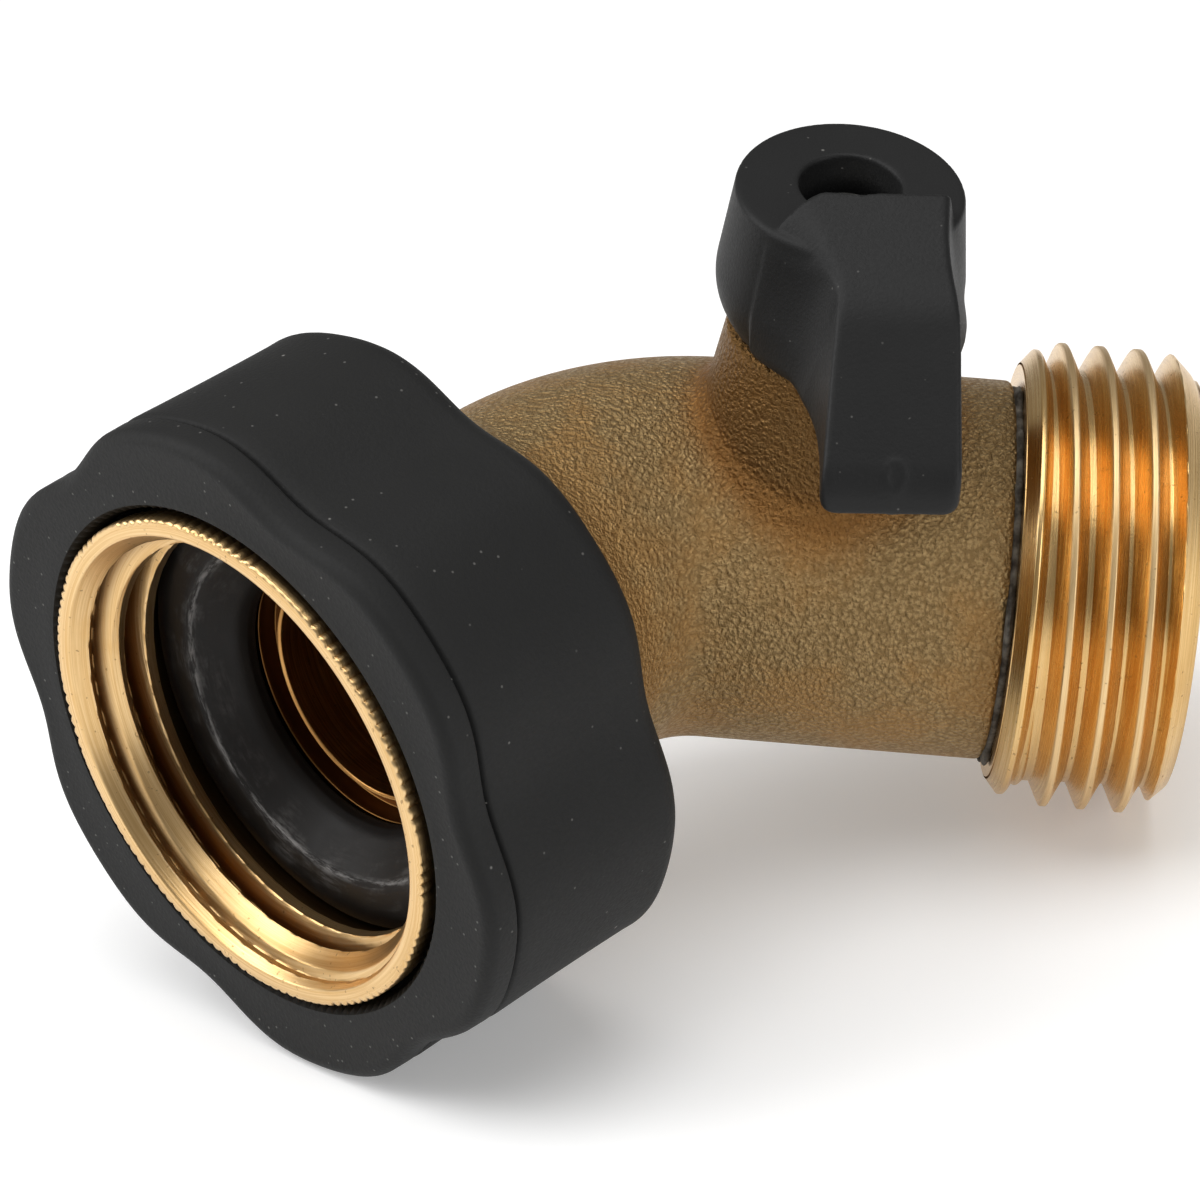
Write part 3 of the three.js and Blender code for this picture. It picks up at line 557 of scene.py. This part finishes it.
# %% [markdown]
# ## The swivel nut
# The nut is turned brass with a hose thread inside. A fine knurl round its rim keeps the rubber grip
# from slipping; its teeth show as a serrated edge against the grip. The knurl is a triangle wave of
# the angle, and the inside uses the same thread wave as the outlet, cut outwards.

# %% Swivel nut
KNURL_TEETH, KNURL_DEPTH, KNURL_LENGTH = 132, 0.2, 1.5
NUT_BODY_R, NUT_WALL_R = NUT_R - 0.25, 9.2
FEMALE_R, FEMALE_CREST_R = 13.7, 12.35
THREAD_MOUTH, MOUTH_R, MOUTH_SLOPE, FEMALE_PHASE = NUT_FACE - 0.14, 13.8, 0.62, 0.9
WASHER_FACE = NUT_FACE - 5.8
FLANGE_BACK = FLANGE_FACE - 2.3


def triangle(share):
    """A wave from 0 to 1 and back, once for each whole share."""
    return 1 - np.abs(share % 1 - 0.5) * 2


def knurl(angle):
    """Tooth height round the rim, from 0 to 1, each tooth a little different from the next."""
    teeth = triangle(KNURL_TEETH * angle / (2 * math.pi))
    worn = smoothstep(-0.25, 0.35, uneven(angle, 3))
    return np.clip(teeth * 1.4 + 0.8 * worn, 0, 1)


def nut_points(columns=528):
    """Back face, knurled outside, rim, threaded inside and relief, as one closed profile per column."""
    angle = angles(columns)
    teeth = NUT_R - KNURL_DEPTH * (1 - knurl(angle))
    outside = [
        (NUT_WALL_R, NUT_BACK + 0.1),
        (NUT_WALL_R + 0.1, NUT_BACK),
        (NUT_BODY_R - 0.8, NUT_BACK),
        (NUT_BODY_R - 0.2, NUT_BACK + 0.3),
        (NUT_BODY_R, NUT_BACK + 0.8),
        (NUT_BODY_R, NUT_BACK + 6),
        (NUT_BODY_R - 0.1, NUT_FACE - KNURL_LENGTH - 0.35),
        (teeth - 0.05, NUT_FACE - KNURL_LENGTH),
        (teeth, NUT_FACE - KNURL_LENGTH / 2),
        (teeth, NUT_FACE - 0.16),
        (teeth - 0.05, NUT_FACE - 0.05),
        (teeth - 0.16, NUT_FACE),
        (14.4, NUT_FACE),
        (14.2, NUT_FACE),
        (13.95, NUT_FACE),
        (13.85, NUT_FACE - 0.05),
    ]
    station = np.linspace(THREAD_MOUTH, WASHER_FACE - 0.1, 120)[:, None]
    groove = FEMALE_CREST_R + (FEMALE_R - FEMALE_CREST_R) * thread_height(
        station - PITCH * angle / (2 * math.pi) - FEMALE_PHASE, 0.16, 0.3)
    cone = MOUTH_R - (THREAD_MOUTH - station) * MOUTH_SLOPE
    relief = FEMALE_R * (1 - smoothstep(WASHER_FACE + 0.3, WASHER_FACE + 0.9, station))
    inside = np.maximum(np.maximum(groove, cone), relief)
    back = [
        (FEMALE_R, WASHER_FACE - 2),
        (FEMALE_R, FLANGE_BACK - 0.3),
        (NUT_WALL_R + 0.1, FLANGE_BACK - 0.3),
        (NUT_WALL_R, FLANGE_BACK - 0.4),
    ]
    return stacked([*outside, *zip(inside, station), *back], angle)


nut_grid = nut_points()
nut = shade(grid_piece("swivel_coupling", nut_grid, COUPLING), 45)
nut_radius = radius_of(nut_grid)
# deep in the thread the grooves are darkened: tarnish, and painted shade inside the nut
in_thread = smoothstep(NUT_FACE - 0.9, NUT_FACE - 1.5, nut_grid[..., 2]) * (nut_radius < FEMALE_R + 0.05)
store(nut, "tarnish_and_shade", in_thread * smoothstep(FEMALE_CREST_R + 0.2, FEMALE_R - 0.2, nut_radius) * 0.85)
print("swivel nut:", len(nut.data.polygons), "faces")

# %% [markdown]
# ## The rubber grip
# The grip is moulded in two steps, so a fine parting line runs round it behind the front cap. Its
# outline has six broad lobes: the radius dips between lobes by a raised cosine whose power makes the
# dips narrow and the lobes broad. The mould left a scrap of flash on the back edge.

# %% Grip sleeve
GRIP_LOBES, GRIP_NOTCH, GRIP_PHASE = 6, 1.4, math.radians(7)
GRIP_PARTING = GRIP_FRONT - 2.1
GRIP_REAR_BORE_R = BODY_R + 1.35
RECESS_OUTER_R = 15.55
FLASH_AT, FLASH_HEIGHT, FLASH_SPREAD = math.radians(248), 0.75, 0.055
FRONT_EDGE, SKIN = 0.7, 0.06
# offset from the parting line and depth below the skin
GROOVE = ((-0.26, 0), (-0.2, 0.02), (-0.12, 0.16), (-0.04, 0.3),
          (0.04, 0.3), (0.12, 0.1), (0.2, 0.0), (0.3, -0.03))


def lobes(angle, sharpness=2.2):
    """How deep the outline dips at an angle, from 0 on a lobe to 1 between two."""
    wave = 0.5 + 0.5 * np.cos(GRIP_LOBES * (angle + GRIP_PHASE) + math.pi)
    return wave ** sharpness


def grip_points(columns=528):
    """Rows of radius and station over the angle: rear rounding, barrel with its parting groove,
    front edge, front face, toothed recess, and the bore back to the start."""
    angle = angles(columns)
    outline = GRIP_R - GRIP_NOTCH * lobes(angle)
    off_flash = (angle - FLASH_AT + math.pi) % (2 * math.pi) - math.pi
    rows = [
        (GRIP_REAR_BORE_R, GRIP_BACK + 0.3),
        (GRIP_REAR_BORE_R + 0.2, GRIP_BACK),
        (GRIP_REAR_BORE_R + 2, GRIP_BACK),
    ]
    for share in np.linspace(0, 1, 12):
        sweep = share * math.pi / 2
        scrap = FLASH_HEIGHT * math.exp(-((share - 0.55) / 0.3) ** 2)
        flash = scrap * np.exp(-(off_flash / FLASH_SPREAD) ** 4)
        rows.append((outline - 2.1 * (1 - math.sin(sweep)) + flash * 0.4,
                     GRIP_BACK + 1.9 * (1 - math.cos(sweep)) - flash))
    for station in np.linspace(GRIP_BACK + 2.6, GRIP_PARTING - 0.5, 14):
        rows.append((outline - 0.05 * math.sin((station - GRIP_BACK) * 0.25), station))
    for offset, depth in GROOVE:
        rows.append((outline - SKIN - depth, GRIP_PARTING + offset))
    for share in np.linspace(0, 1, 8):
        sweep = share * math.pi / 2
        rows.append((outline - SKIN - 0.1 * share - FRONT_EDGE * (1 - math.cos(sweep)),
                     GRIP_FRONT - FRONT_EDGE * (1 - math.sin(sweep))))
    for share in (0.05, 0.2, 0.4, 0.6, 0.8, 0.95):
        rows.append(((outline - 0.9) * (1 - share) + (RECESS_OUTER_R + 0.15) * share,
                     GRIP_FRONT - 0.05 * math.sin(share * math.pi)))
    ribs = 0.1 + 0.4 * triangle(KNURL_TEETH * angle / (2 * math.pi) + 0.5)
    for depth, closeness in ((0.02, 0.0), (0.12, 0.1), (0.3, 0.55), (0.7, 0.8), (1.5, 1.0)):
        rows.append((RECESS_OUTER_R - closeness * ribs, GRIP_FRONT - depth))
    rows += [
        (NUT_R + 0.3, GRIP_FRONT - 1.9),
        (NUT_BODY_R + 0.35, GRIP_FRONT - 2.4),
        (NUT_BODY_R + 0.35, NUT_BACK - 0.2),
        (GRIP_REAR_BORE_R + 0.1, NUT_BACK - 0.3),
        (GRIP_REAR_BORE_R, NUT_BACK - 0.4),
    ]
    return stacked(rows, angle)


grip = shade(grid_piece("rubber_grip", grip_points(), COUPLING), 50)
print("grip:", len(grip.data.polygons), "faces")

# %% [markdown]
# ## Washer, tailpiece and ball
# These are plain turned pieces, so each is a profile carried round its axis with its corners eased.
# The washer's face slopes in towards its hole, and a hose has worn a pale ring into it. The ball is
# a sphere with a bore: its profile is the bore, then the arc between the bore's two rims.

# %% Inside pieces
def washer_loop():
    return rounded([
        (8.0, FLANGE_FACE + 0.3, 0.1), (13.25, FLANGE_FACE + 0.3, 0.2), (13.25, WASHER_FACE - 0.3, 0.25),
        (12.3, WASHER_FACE, 0.4), (10.3, WASHER_FACE, 0.5), (8.25, FLANGE_FACE + 1.5, 0.5),
        (8.0, FLANGE_FACE + 0.9, 0.1),
    ], 5, 0.25)


def tail_loop():
    return rounded([
        (6.6, TAIL_END, 0.2), (8.6, TAIL_END, 0.3), (8.6, 10.2, 0.02), (7.8, 10.2, 0.02), (7.8, 11.4, 0.02),
        (8.6, 11.4, 0.02), (8.6, FLANGE_BACK, 0.1), (FLANGE_R, FLANGE_BACK, 0.2),
        (FLANGE_R, FLANGE_FACE, 0.2), (8.1, FLANGE_FACE, 0.1), (8.0, FLANGE_FACE - 1.2, 0.1),
        (7.0, FLANGE_FACE - 1.2, 0.1), (6.9, FLANGE_FACE - 0.3, 0.08), (6.65, FLANGE_FACE - 0.4, 0.08),
    ], 4, 0.6)


washer_grid = turn(washer_loop(), 240)
washer = shade(grid_piece("worn_washer", washer_grid, COUPLING), 50)
washer_radius = radius_of(washer_grid)
facing = smoothstep(FLANGE_FACE + 1.0, FLANGE_FACE + 1.6, washer_grid[..., 2])
store(washer, "ring", facing * np.exp(-((washer_radius - 10.25) / 0.16) ** 2))
store(washer, "haze", facing * np.exp(-((washer_radius - 10.6) / 1.4) ** 2))
tail_grid = turn(tail_loop(), 200)
tailpiece = shade(grid_piece("tail_tube", tail_grid, COUPLING), 40)
# the tube is coloured near black everywhere outside its bore's thin rim, so the groove round the rim reads
# dark
store(tailpiece, "tarnish_and_shade", smoothstep(6.9, 7.05, radius_of(tail_grid)) * 0.95)

# %% Ball with its bore
BALL_R, BALL_BORE_R = 7.5, 4.6


def ball_points():
    """The bore's profile from rim to rim, then the arc radius R between the rims' latitudes."""
    rim = math.asin(BALL_BORE_R / BALL_R)
    sweep = np.linspace(rim + 0.02, math.pi - rim - 0.02, 70)
    arc = np.stack([BALL_R * np.sin(sweep), BALL_R * np.cos(sweep)], axis=1)
    height = BALL_R * math.cos(rim) - 0.12
    bore = np.stack([np.full(10, BALL_BORE_R), np.linspace(-height, height, 10)], axis=1)
    return turn(np.concatenate([arc, bore]), 144)


ball_side = np.cross(stem_axis, outlet_axis)
bore_axis = math.cos(LEVER_YAW) * ball_side - math.sin(LEVER_YAW) * outlet_axis
BALL = axes_matrix(ball_centre, np.cross(stem_axis, bore_axis), stem_axis, bore_axis)
ball = shade(grid_piece("plated_ball", ball_points(), BALL), 40)

# %% [markdown]
# ## Screw and washer in the lever's recess
# A pan-head screw holds the lever down. Its head is a shallow dome, the height falling with the
# square of the radius. Where the radius meets the cross recess the dome drops to the recess floor:
# the cross is the smaller of two bars' distances, so it can live in the same formula.

# %% Lever screw
def screw_head_points(columns=180):
    """Polar grid: under the head, its side, then the dome inwards with the cross pressed in."""
    angle = angles(columns)
    base, rim, half_bar, bar_reach = RECESS_FLOOR + 0.95, 2.45, 0.28, 1.35
    rows = [(0, base), (1.0, base), (rim - 0.1, base), (rim, base + 0.1), (rim, base + 0.7)]
    for radius in np.linspace(rim - 0.05, 0, 40):
        x, y = abs(radius * np.cos(angle)), abs(radius * np.sin(angle))
        dome = base + 0.85 + 0.75 * (1 - (radius / rim) ** 2)
        bar = np.minimum(np.maximum(x - half_bar, y - bar_reach), np.maximum(y - half_bar, x - bar_reach))
        rows.append((radius, dome - 0.95 * smoothstep(0.08, -0.08, bar) * (1.6 - radius) / 1.6))
    return stacked(rows, angle)


screw = shade(grid_piece("pan_head_screw", screw_head_points(), VALVE, ring=False), 50)
spring_loop = rounded([(radius, RECESS_FLOOR + height, 0.08)
                       for radius, height in ((1.45, 0.12), (2.4, 0.12), (2.4, 0.7), (1.45, 0.7))], 3)
spring_washer = shade(grid_piece("spring_washer", turn(spring_loop, 96), VALVE), 50)
print("inside pieces made")

# %% [markdown]
# ## A short way to write shader maths
# A finish is a network of nodes, and arithmetic on it reads best as arithmetic. One small class
# wraps a socket, so that 1 - mask or grain * 0.2 adds the Math node it stands for. Every other node
# comes from one method that takes the node's type, then its settings, then its inputs.

# %% Sockets that do arithmetic
class Value:
    """A socket with a number on it; an operator adds its Math node and returns the new socket."""

    def __init__(self, finish, socket):
        self.finish, self.socket = finish, socket

    def _math(self, operation, first, second):
        return Value(self.finish, self.finish.node(
            "ShaderNodeMath", {"operation": operation}, {0: first, 1: second}).outputs[0])

    def __add__(self, other):
        return self._math("ADD", self, other)

    def __sub__(self, other):
        return self._math("SUBTRACT", self, other)

    def __rsub__(self, other):
        return self._math("SUBTRACT", other, self)

    def __mul__(self, other):
        return self._math("MULTIPLY", self, other)

    __radd__, __rmul__ = __add__, __mul__


class Finish:
    """A material under construction: fixed values on the shader's sockets, then whatever varies."""

    def __init__(self, name, **fixed):
        self.material = bpy.data.materials.new(name)
        self.material.use_nodes = True
        self.tree = self.material.node_tree
        self.tree.nodes.clear()
        self.shader = self.node("ShaderNodeBsdfPrincipled", {}, {})
        output = self.node("ShaderNodeOutputMaterial", {}, {})
        self.tree.links.new(self.shader.outputs[0], output.inputs["Surface"])
        for socket, value in fixed.items():
            self.shader.inputs[socket.replace("_", " ")].default_value = value

    def node(self, kind, settings, inputs):
        """Adds a node, sets it up, and feeds each named or numbered input a value or a link."""
        node = self.tree.nodes.new(kind)
        for setting, value in settings.items():
            setattr(node, setting, value)
        for key, value in inputs.items():
            source = value.socket if isinstance(value, Value) else value
            if isinstance(source, bpy.types.NodeSocket):
                self.tree.links.new(source, node.inputs[key])
            else:
                node.inputs[key].default_value = source
        return node

    def place(self):
        """The point on the piece, in metres."""
        return self.node("ShaderNodeTexCoord", {}, {}).outputs["Object"]

    def kept(self, name, output="Fac"):
        """A number or a vector that the mesh keeps for each vertex."""
        socket = self.node("ShaderNodeAttribute", {"attribute_name": name}, {}).outputs[output]
        return Value(self, socket) if output == "Fac" else socket

    def noise(self, where, scale, detail=3.0, roughness=0.55):
        """Soft noise from 0 to 1."""
        return Value(self, self.node("ShaderNodeTexNoise", {}, {
            "Vector": where, "Scale": scale, "Detail": detail, "Roughness": roughness}).outputs[0])

    def stretched(self, where, along, round_axis):
        """A vector scaled differently along a profile and round its axis, for turning lines."""
        return self.node("ShaderNodeVectorMath", {"operation": "MULTIPLY"}, {
            0: where, 1: (along, round_axis, round_axis)}).outputs[0]

    def between(self, value, low, high):
        """0 where value is at or below low, 1 at or above high, eased between."""
        return Value(self, self.node("ShaderNodeMapRange", {"interpolation_type": "SMOOTHSTEP"}, {
            "Value": value, "From Min": low, "From Max": high}).outputs[0])

    def colour(self, factor, first, second):
        """A colour between two colours or colour sockets."""
        mix = self.node("ShaderNodeMix", {"data_type": "RGBA"}, {"Factor": factor})
        for key, value in ((6, first), (7, second)):
            if isinstance(value, bpy.types.NodeSocket):
                self.tree.links.new(value, mix.inputs[key])
            else:
                mix.inputs[key].default_value = (*value, 1)
        return mix.outputs[2]

    def feed(self, socket, value):
        source = value.socket if isinstance(value, Value) else value
        self.tree.links.new(source, self.shader.inputs[socket])

    def bump(self, height, distance, strength=1.0):
        """Feeds the shader's Normal from a height from 0 to 1 that stands for distance in metres."""
        values = {"Strength": strength, "Distance": distance, "Height": height}
        bump = self.node("ShaderNodeBump", {}, values)
        self.tree.links.new(bump.outputs[0], self.shader.inputs["Normal"])


# %% [markdown]
# ## Sand-blasted brass
# Grit leaves a cast surface covered in tiny dents, so it glitters in points and has no clear
# reflections. Rounded cells and a finer noise make the grain, which drives colour, roughness and bump
# together: a dent is darker and duller than the crown beside it. The boss and the crease round its
# foot are painted darker than the rest, as shade, where the mesh's own values say.

# %% Cast brass
def cast_brass():
    finish = Finish("cast_brass", Metallic=0.92)
    where = finish.place()
    cells = finish.node("ShaderNodeTexVoronoi", {}, {"Vector": where, "Scale": 3300.0})
    pebbles = 1 - Value(finish, cells.outputs["Distance"])
    fine = finish.noise(where, 6500, 2.0, 0.6)
    clouds = finish.noise(where, 150, 4.0, 0.6)
    grain = fine * 0.55 + pebbles * 0.45
    crown = finish.between(grain, 0.36, 0.70)
    base = finish.colour(crown, (0.27, 0.175, 0.074), (0.43, 0.295, 0.135))
    warm = finish.colour(finish.between(clouds, 0.44, 0.62) * 0.45, base, (0.40, 0.215, 0.068))
    # painted shade: the boss is darkened towards dark brown
    boss_shaded = finish.colour(finish.kept("boss") * 0.8, warm, (0.16, 0.080, 0.024))
    # painted shade: the crease round the boss's foot is darkened further
    finish.feed("Base Color", finish.colour(finish.kept("crease_shade") * 0.6, boss_shaded, (0.27, 0.115, 0.026)))
    finish.feed("Roughness", 0.52 - crown * 0.18)
    finish.bump(grain, 0.00034, 1.0)
    return finish.material


# %% [markdown]
# ## Turned brass
# A lathe tool leaves rings a few hundredths of a millimetre apart. Each turned mesh keeps its
# distance along the profile and its direction round the axis, so a noise that is fine along the
# profile and slow round the axis draws those rings on faces, bores, cones and thread flanks alike.
# The meshes also say where a crest is worn pale and where the metal is darkened: a little in the
# hose thread's roots, in the nut's thread as tarnish and painted shade, and on the tail tube outside
# its bore's rim. A mesh that says nothing of these reads as 0, which leaves its metal plain.

# %% Turned brass
def turned_brass(name, light, deep, roughness, ring=9.0):
    finish = Finish(name, Metallic=1.0)
    lathe = finish.kept("turned", "Vector")
    rings = finish.noise(finish.stretched(lathe, ring, 1.2), 1.0, 4.0, 0.7)
    where = finish.place()
    stain = finish.noise(where, 260, 3.0)
    specks = finish.between(finish.noise(where, 3200, 1.0), 0.70, 0.76)
    base = finish.colour(finish.between(rings, 0.36, 0.66), deep, light)
    aged = finish.colour(finish.between(stain, 0.52, 0.74) * 0.35, base, (0.62, 0.36, 0.12))
    worn = finish.kept("worn")
    rubbed = finish.colour(worn * 0.3, aged, (0.76, 0.62, 0.42))
    # darker where the mesh says: tarnish, with painted shade in the nut's thread; on the tail tube, all but
    # the bore's rim
    tarnished_and_shaded = finish.colour(finish.kept("tarnish_and_shade"), rubbed, (0.16, 0.075, 0.022))
    finish.feed("Base Color", finish.colour(specks * 0.5, tarnished_and_shaded, (0.20, 0.11, 0.04)))
    finish.feed("Roughness", roughness + (rings - 0.5) * 0.14 + specks * 0.15 + worn * 0.16)
    finish.bump(rings, 0.00002, 0.6)
    return finish.material


# %% [markdown]
# ## Rubber and moulded plastic
# Both are near black and matt, with a very fine moulded grain. What tells them apart is dust:
# rubber holds pale specks and short fibres. A speck is the middle of a cell of a Voronoi pattern,
# kept only in the few cells whose own random colour is high.

# %% Dark mouldings
def dust(finish, where, scale, share, size):
    """1 on scattered specks: near the middle of a cell, in the given share of the cells."""
    cells = finish.node("ShaderNodeTexVoronoi", {}, {"Vector": where, "Scale": scale})
    near = 1 - finish.between(Value(finish, cells.outputs["Distance"]), size * 0.4, size)
    pick = finish.node("ShaderNodeSeparateColor", {}, {"Color": cells.outputs["Color"]}).outputs[0]
    return near * finish.between(Value(finish, pick), 1 - share - 0.01, 1 - share)


def grip_rubber():
    finish = Finish("grip_rubber", Specular_IOR_Level=0.21)
    where = finish.place()
    grain = finish.noise(where, 4200, 2.0, 0.6)
    patches = finish.noise(where, 120, 3.0)
    base = finish.colour(patches, (0.0085, 0.0086, 0.0085), (0.0150, 0.0149, 0.0144))
    fibres = dust(finish, finish.stretched(where, 0.2, 1.0), 900, 0.08, 0.07)
    specks = dust(finish, where, 1300, 0.2, 0.13) * 0.5 + dust(finish, where, 620, 0.12, 0.085) + fibres
    finish.feed("Base Color", finish.colour(specks * 0.5, base, (0.34, 0.33, 0.31)))
    finish.feed("Roughness", 0.62 + (grain - 0.5) * 0.18 + patches * 0.05)
    finish.bump(grain, 0.00005, 0.55)
    return finish.material


def lever_plastic():
    finish = Finish("lever_plastic", Specular_IOR_Level=0.22)
    where = finish.place()
    grain = finish.noise(where, 5200, 2.0, 0.6)
    patches = finish.noise(where, 200, 3.0)
    base = finish.colour(patches, (0.0080, 0.0081, 0.0082), (0.0130, 0.0131, 0.0132))
    fibres = dust(finish, finish.stretched(where, 0.22, 1.0), 1000, 0.06, 0.06)
    specks = dust(finish, where, 1500, 0.2, 0.13) * 0.5 + dust(finish, where, 700, 0.12, 0.085) + fibres
    dusted = finish.colour(specks * 0.4, base, (0.32, 0.31, 0.29))
    finish.feed("Base Color", dusted)
    finish.feed("Roughness", 0.52 + (grain - 0.5) * 0.2 + finish.kept("handled") * -0.06)
    finish.bump(grain, 0.00004, 0.5)
    return finish.material


# %% [markdown]
# ## The worn washer and the small parts
# A washer that has been screwed down turns shiny on its flat and whitish where the hose's edge has
# rubbed. The mesh keeps where the ring of wear and the haze round it lie; noise stretched round the
# axis breaks them into streaks.

# %% Washer rubber
def washer_rubber():
    finish = Finish("washer_rubber", Specular_IOR_Level=0.25)
    lathe = finish.kept("turned", "Vector")
    where = finish.place()
    streaks = finish.noise(finish.stretched(lathe, 3.0, 5.0), 1.0, 5.0, 0.7)
    blotches = finish.noise(where, 420, 4.0, 0.6)
    wear = finish.kept("ring") * finish.between(streaks, 0.42, 0.62) * 0.4
    broken = finish.between(blotches, 0.46, 0.70) * finish.between(streaks, 0.38, 0.62)
    haze = finish.kept("haze") * broken * 0.14
    base = finish.colour(blotches, (0.0025, 0.0018, 0.0014), (0.0075, 0.0054, 0.0042))
    finish.feed("Base Color", finish.colour(wear + haze, base, (0.42, 0.41, 0.40)))
    finish.feed("Roughness", 0.42 + blotches * 0.25)
    finish.bump(streaks * 0.5 + blotches * 0.5, 0.00006, 0.5)
    return finish.material


# %% Small parts
def mottled(name, light, dark, scale, metallic, rough, bump):
    """A finish for small parts: two tones of noise that also vary the gloss and the surface."""
    finish = Finish(name, Metallic=metallic)
    where = finish.place()
    mottle = finish.noise(where, scale, 4.0, 0.6)
    scratches = finish.noise(where, scale * 6, 2.0)
    finish.feed("Base Color", finish.colour(finish.between(mottle, 0.35, 0.68), dark, light))
    finish.feed("Roughness", rough + (scratches - 0.5) * 0.2)
    finish.bump(scratches * 0.5 + mottle * 0.5, bump, 0.5)
    return finish.material


finishes = {
    "cast_brass": cast_brass(),
    "thread_brass": turned_brass("thread_brass", (0.88, 0.62, 0.30), (0.68, 0.42, 0.15), 0.26),
    "nut_brass": turned_brass("nut_brass", (0.78, 0.55, 0.28), (0.62, 0.39, 0.16), 0.32),
    "tube_brass": turned_brass("tube_brass", (0.52, 0.29, 0.10), (0.32, 0.15, 0.045), 0.3),
    "grip_rubber": grip_rubber(),
    "lever_plastic": lever_plastic(),
    "washer_rubber": washer_rubber(),
}
SMALL_PARTS = {
    "plating": ((0.80, 0.80, 0.81), (0.70, 0.70, 0.71), 300, 1.0, 0.14, 0.000006),
    "zinc": ((0.66, 0.66, 0.65), (0.46, 0.45, 0.43), 900, 1.0, 0.38, 0.00002),
    "seat_plastic": ((0.86, 0.85, 0.81), (0.72, 0.70, 0.65), 700, 0.0, 0.5, 0.00002),
    "sealant": ((0.17, 0.155, 0.13), (0.022, 0.016, 0.010), 1100, 0.0, 0.8, 0.0002),
    "o_ring_rubber": ((0.032, 0.030, 0.028), (0.014, 0.013, 0.012), 900, 0.0, 0.5, 0.00002),
    "stem_brass": ((0.82, 0.60, 0.30), (0.62, 0.40, 0.17), 1400, 1.0, 0.28, 0.00002),
}
for name, look in SMALL_PARTS.items():
    finishes[name] = mottled(name, *look)
print("finishes:", ", ".join(finishes))

# %% [markdown]
# ## Which piece stands for which
# Each new piece rides on the body of the CAD node that it replaces and gets its own finish, while
# that node is hidden. The pieces that stay as they were packed only get their finish.

# %% Dress and attach
pieces = (
    (body, "valve_body", "valve", "cast_brass", "cast_brass"),
    (adapter, "outlet_adapter", "valve", "turned_brass", "thread_brass"),
    (sealant, "thread_sealant", "valve", "sealant", "sealant"),
    (tailpiece, "tailpiece", "valve", "turned_brass", "tube_brass"),
    (nut, "swivel_nut", "coupling", "turned_brass", "nut_brass"),
    (grip, "grip_sleeve", "coupling", "grip_rubber", "grip_rubber"),
    (washer, "hose_washer", "coupling", "seal_rubber", "washer_rubber"),
    (lever, "lever", "lever_group", "lever_plastic", "lever_plastic"),
    (screw, "lever_screw", "lever_group", "zinc_steel", "zinc"),
    (spring_washer, "lock_washer", "lever_group", "zinc_steel", "zinc"),
    (ball, "ball", "ball_group", "chromed_ball", "plating"),
)
for piece, node, body_name, slot, finish in pieces:
    piece.data.materials.append(finishes[finish])
    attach(piece, body_name)
    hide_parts(node)

kept_nodes = {
    "inlet_seat": "seat_plastic",
    "outlet_seat": "seat_plastic",
    "stem_thrust_washer": "seat_plastic",
    "stem": "stem_brass",
    "stem_o_ring_lower": "o_ring_rubber",
    "stem_o_ring_upper": "o_ring_rubber",
    "tailpiece_o_ring": "o_ring_rubber",
}
for node, finish in kept_nodes.items():
    for material_slot in frame["nodes"][node].material_slots:
        material_slot.material = finishes[finish]
print(len(pieces), "new pieces,", len(kept_nodes), "packed pieces kept")

# %% [markdown]
# ## Floor, light and camera
# A pale sweep of floor and large soft lights suit brass, because polished metal shows whatever
# stands round it: a bright panel becomes a pale band along a thread, and the gap between two panels
# becomes the dark line that gives it shape.

# %% Floor
FLOOR_SIZE = 3.0
bpy.ops.mesh.primitive_plane_add(size=FLOOR_SIZE, location=(0, 0, -0.00005))
floor = bpy.context.object
floor.name = "studio_floor"
floor_finish = Finish("pale_floor", Roughness=0.9, Emission_Color=(1, 1, 1, 1), Emission_Strength=0.24)
paper = floor_finish.noise(floor_finish.place(), 90, 3.0)
floor_finish.feed("Base Color", floor_finish.colour(paper, (0.86, 0.86, 0.86), (0.88, 0.88, 0.88)))
floor.data.materials.append(floor_finish.material)

# %% Lights
world = bpy.data.worlds.new("studio")
bpy.context.scene.world = world
world.use_nodes = True
world.node_tree.nodes["Background"].inputs["Color"].default_value = (1.0, 0.99, 0.975, 1)
world.node_tree.nodes["Background"].inputs["Strength"].default_value = 0.28
bpy.context.scene.view_settings.view_transform = "Standard"


def in_valve(x, y, z):
    """A point in the valve's frame, in mm, as a point in the row's frame, in metres."""
    return Vector(place(np.array([[x, y, z]], float), VALVE)[0])


def soft_light(name, at, aim, width, height, watts):
    """A rectangular lamp at a point, turned to face another point."""
    data = bpy.data.lights.new(name, "AREA")
    data.shape, data.size, data.size_y, data.energy = "RECTANGLE", width, height, watts
    lamp = bpy.data.objects.new(name, data)
    bpy.context.scene.collection.objects.link(lamp)
    lamp.location = at
    lamp.rotation_euler = (aim - at).to_track_quat("-Z", "Y").to_euler()


middle = in_valve(-11, -3, 0)
soft_light("top_panel", in_valve(-70, 10, 330), middle, 0.34, 0.26, 0.8)
soft_light("left_panel", in_valve(-320, 0, 140), middle, 0.22, 0.30, 0.75)
soft_light("right_panel", in_valve(280, -190, 160), middle, 0.12, 0.30, 0.42)

# %% Camera
FOCAL_LENGTH, SENSOR = 152.4, 36.0
camera_data = bpy.data.cameras.new("camera")
camera_data.lens, camera_data.sensor_width, camera_data.sensor_height = FOCAL_LENGTH, SENSOR, SENSOR
camera_data.clip_start = 0.01
camera = bpy.data.objects.new("camera", camera_data)
bpy.context.scene.collection.objects.link(camera)
camera_at = in_valve(-14.01, -228.21, 187.52)
aim = in_valve(-11.74, -2.22, -2.86)
forward = (aim - camera_at).normalized()
leaning_up = Vector(VALVE[:3, :3] @ np.array([-0.0816, 0.643, 0.762]))
right = forward.cross(leaning_up).normalized()
camera_up = right.cross(forward)
turned_camera = Matrix((right, camera_up, -forward)).transposed()
camera.matrix_world = Matrix.Translation(camera_at) @ turned_camera.to_4x4()
bpy.context.scene.camera = camera
print("camera at", [round(value, 3) for value in camera_at])
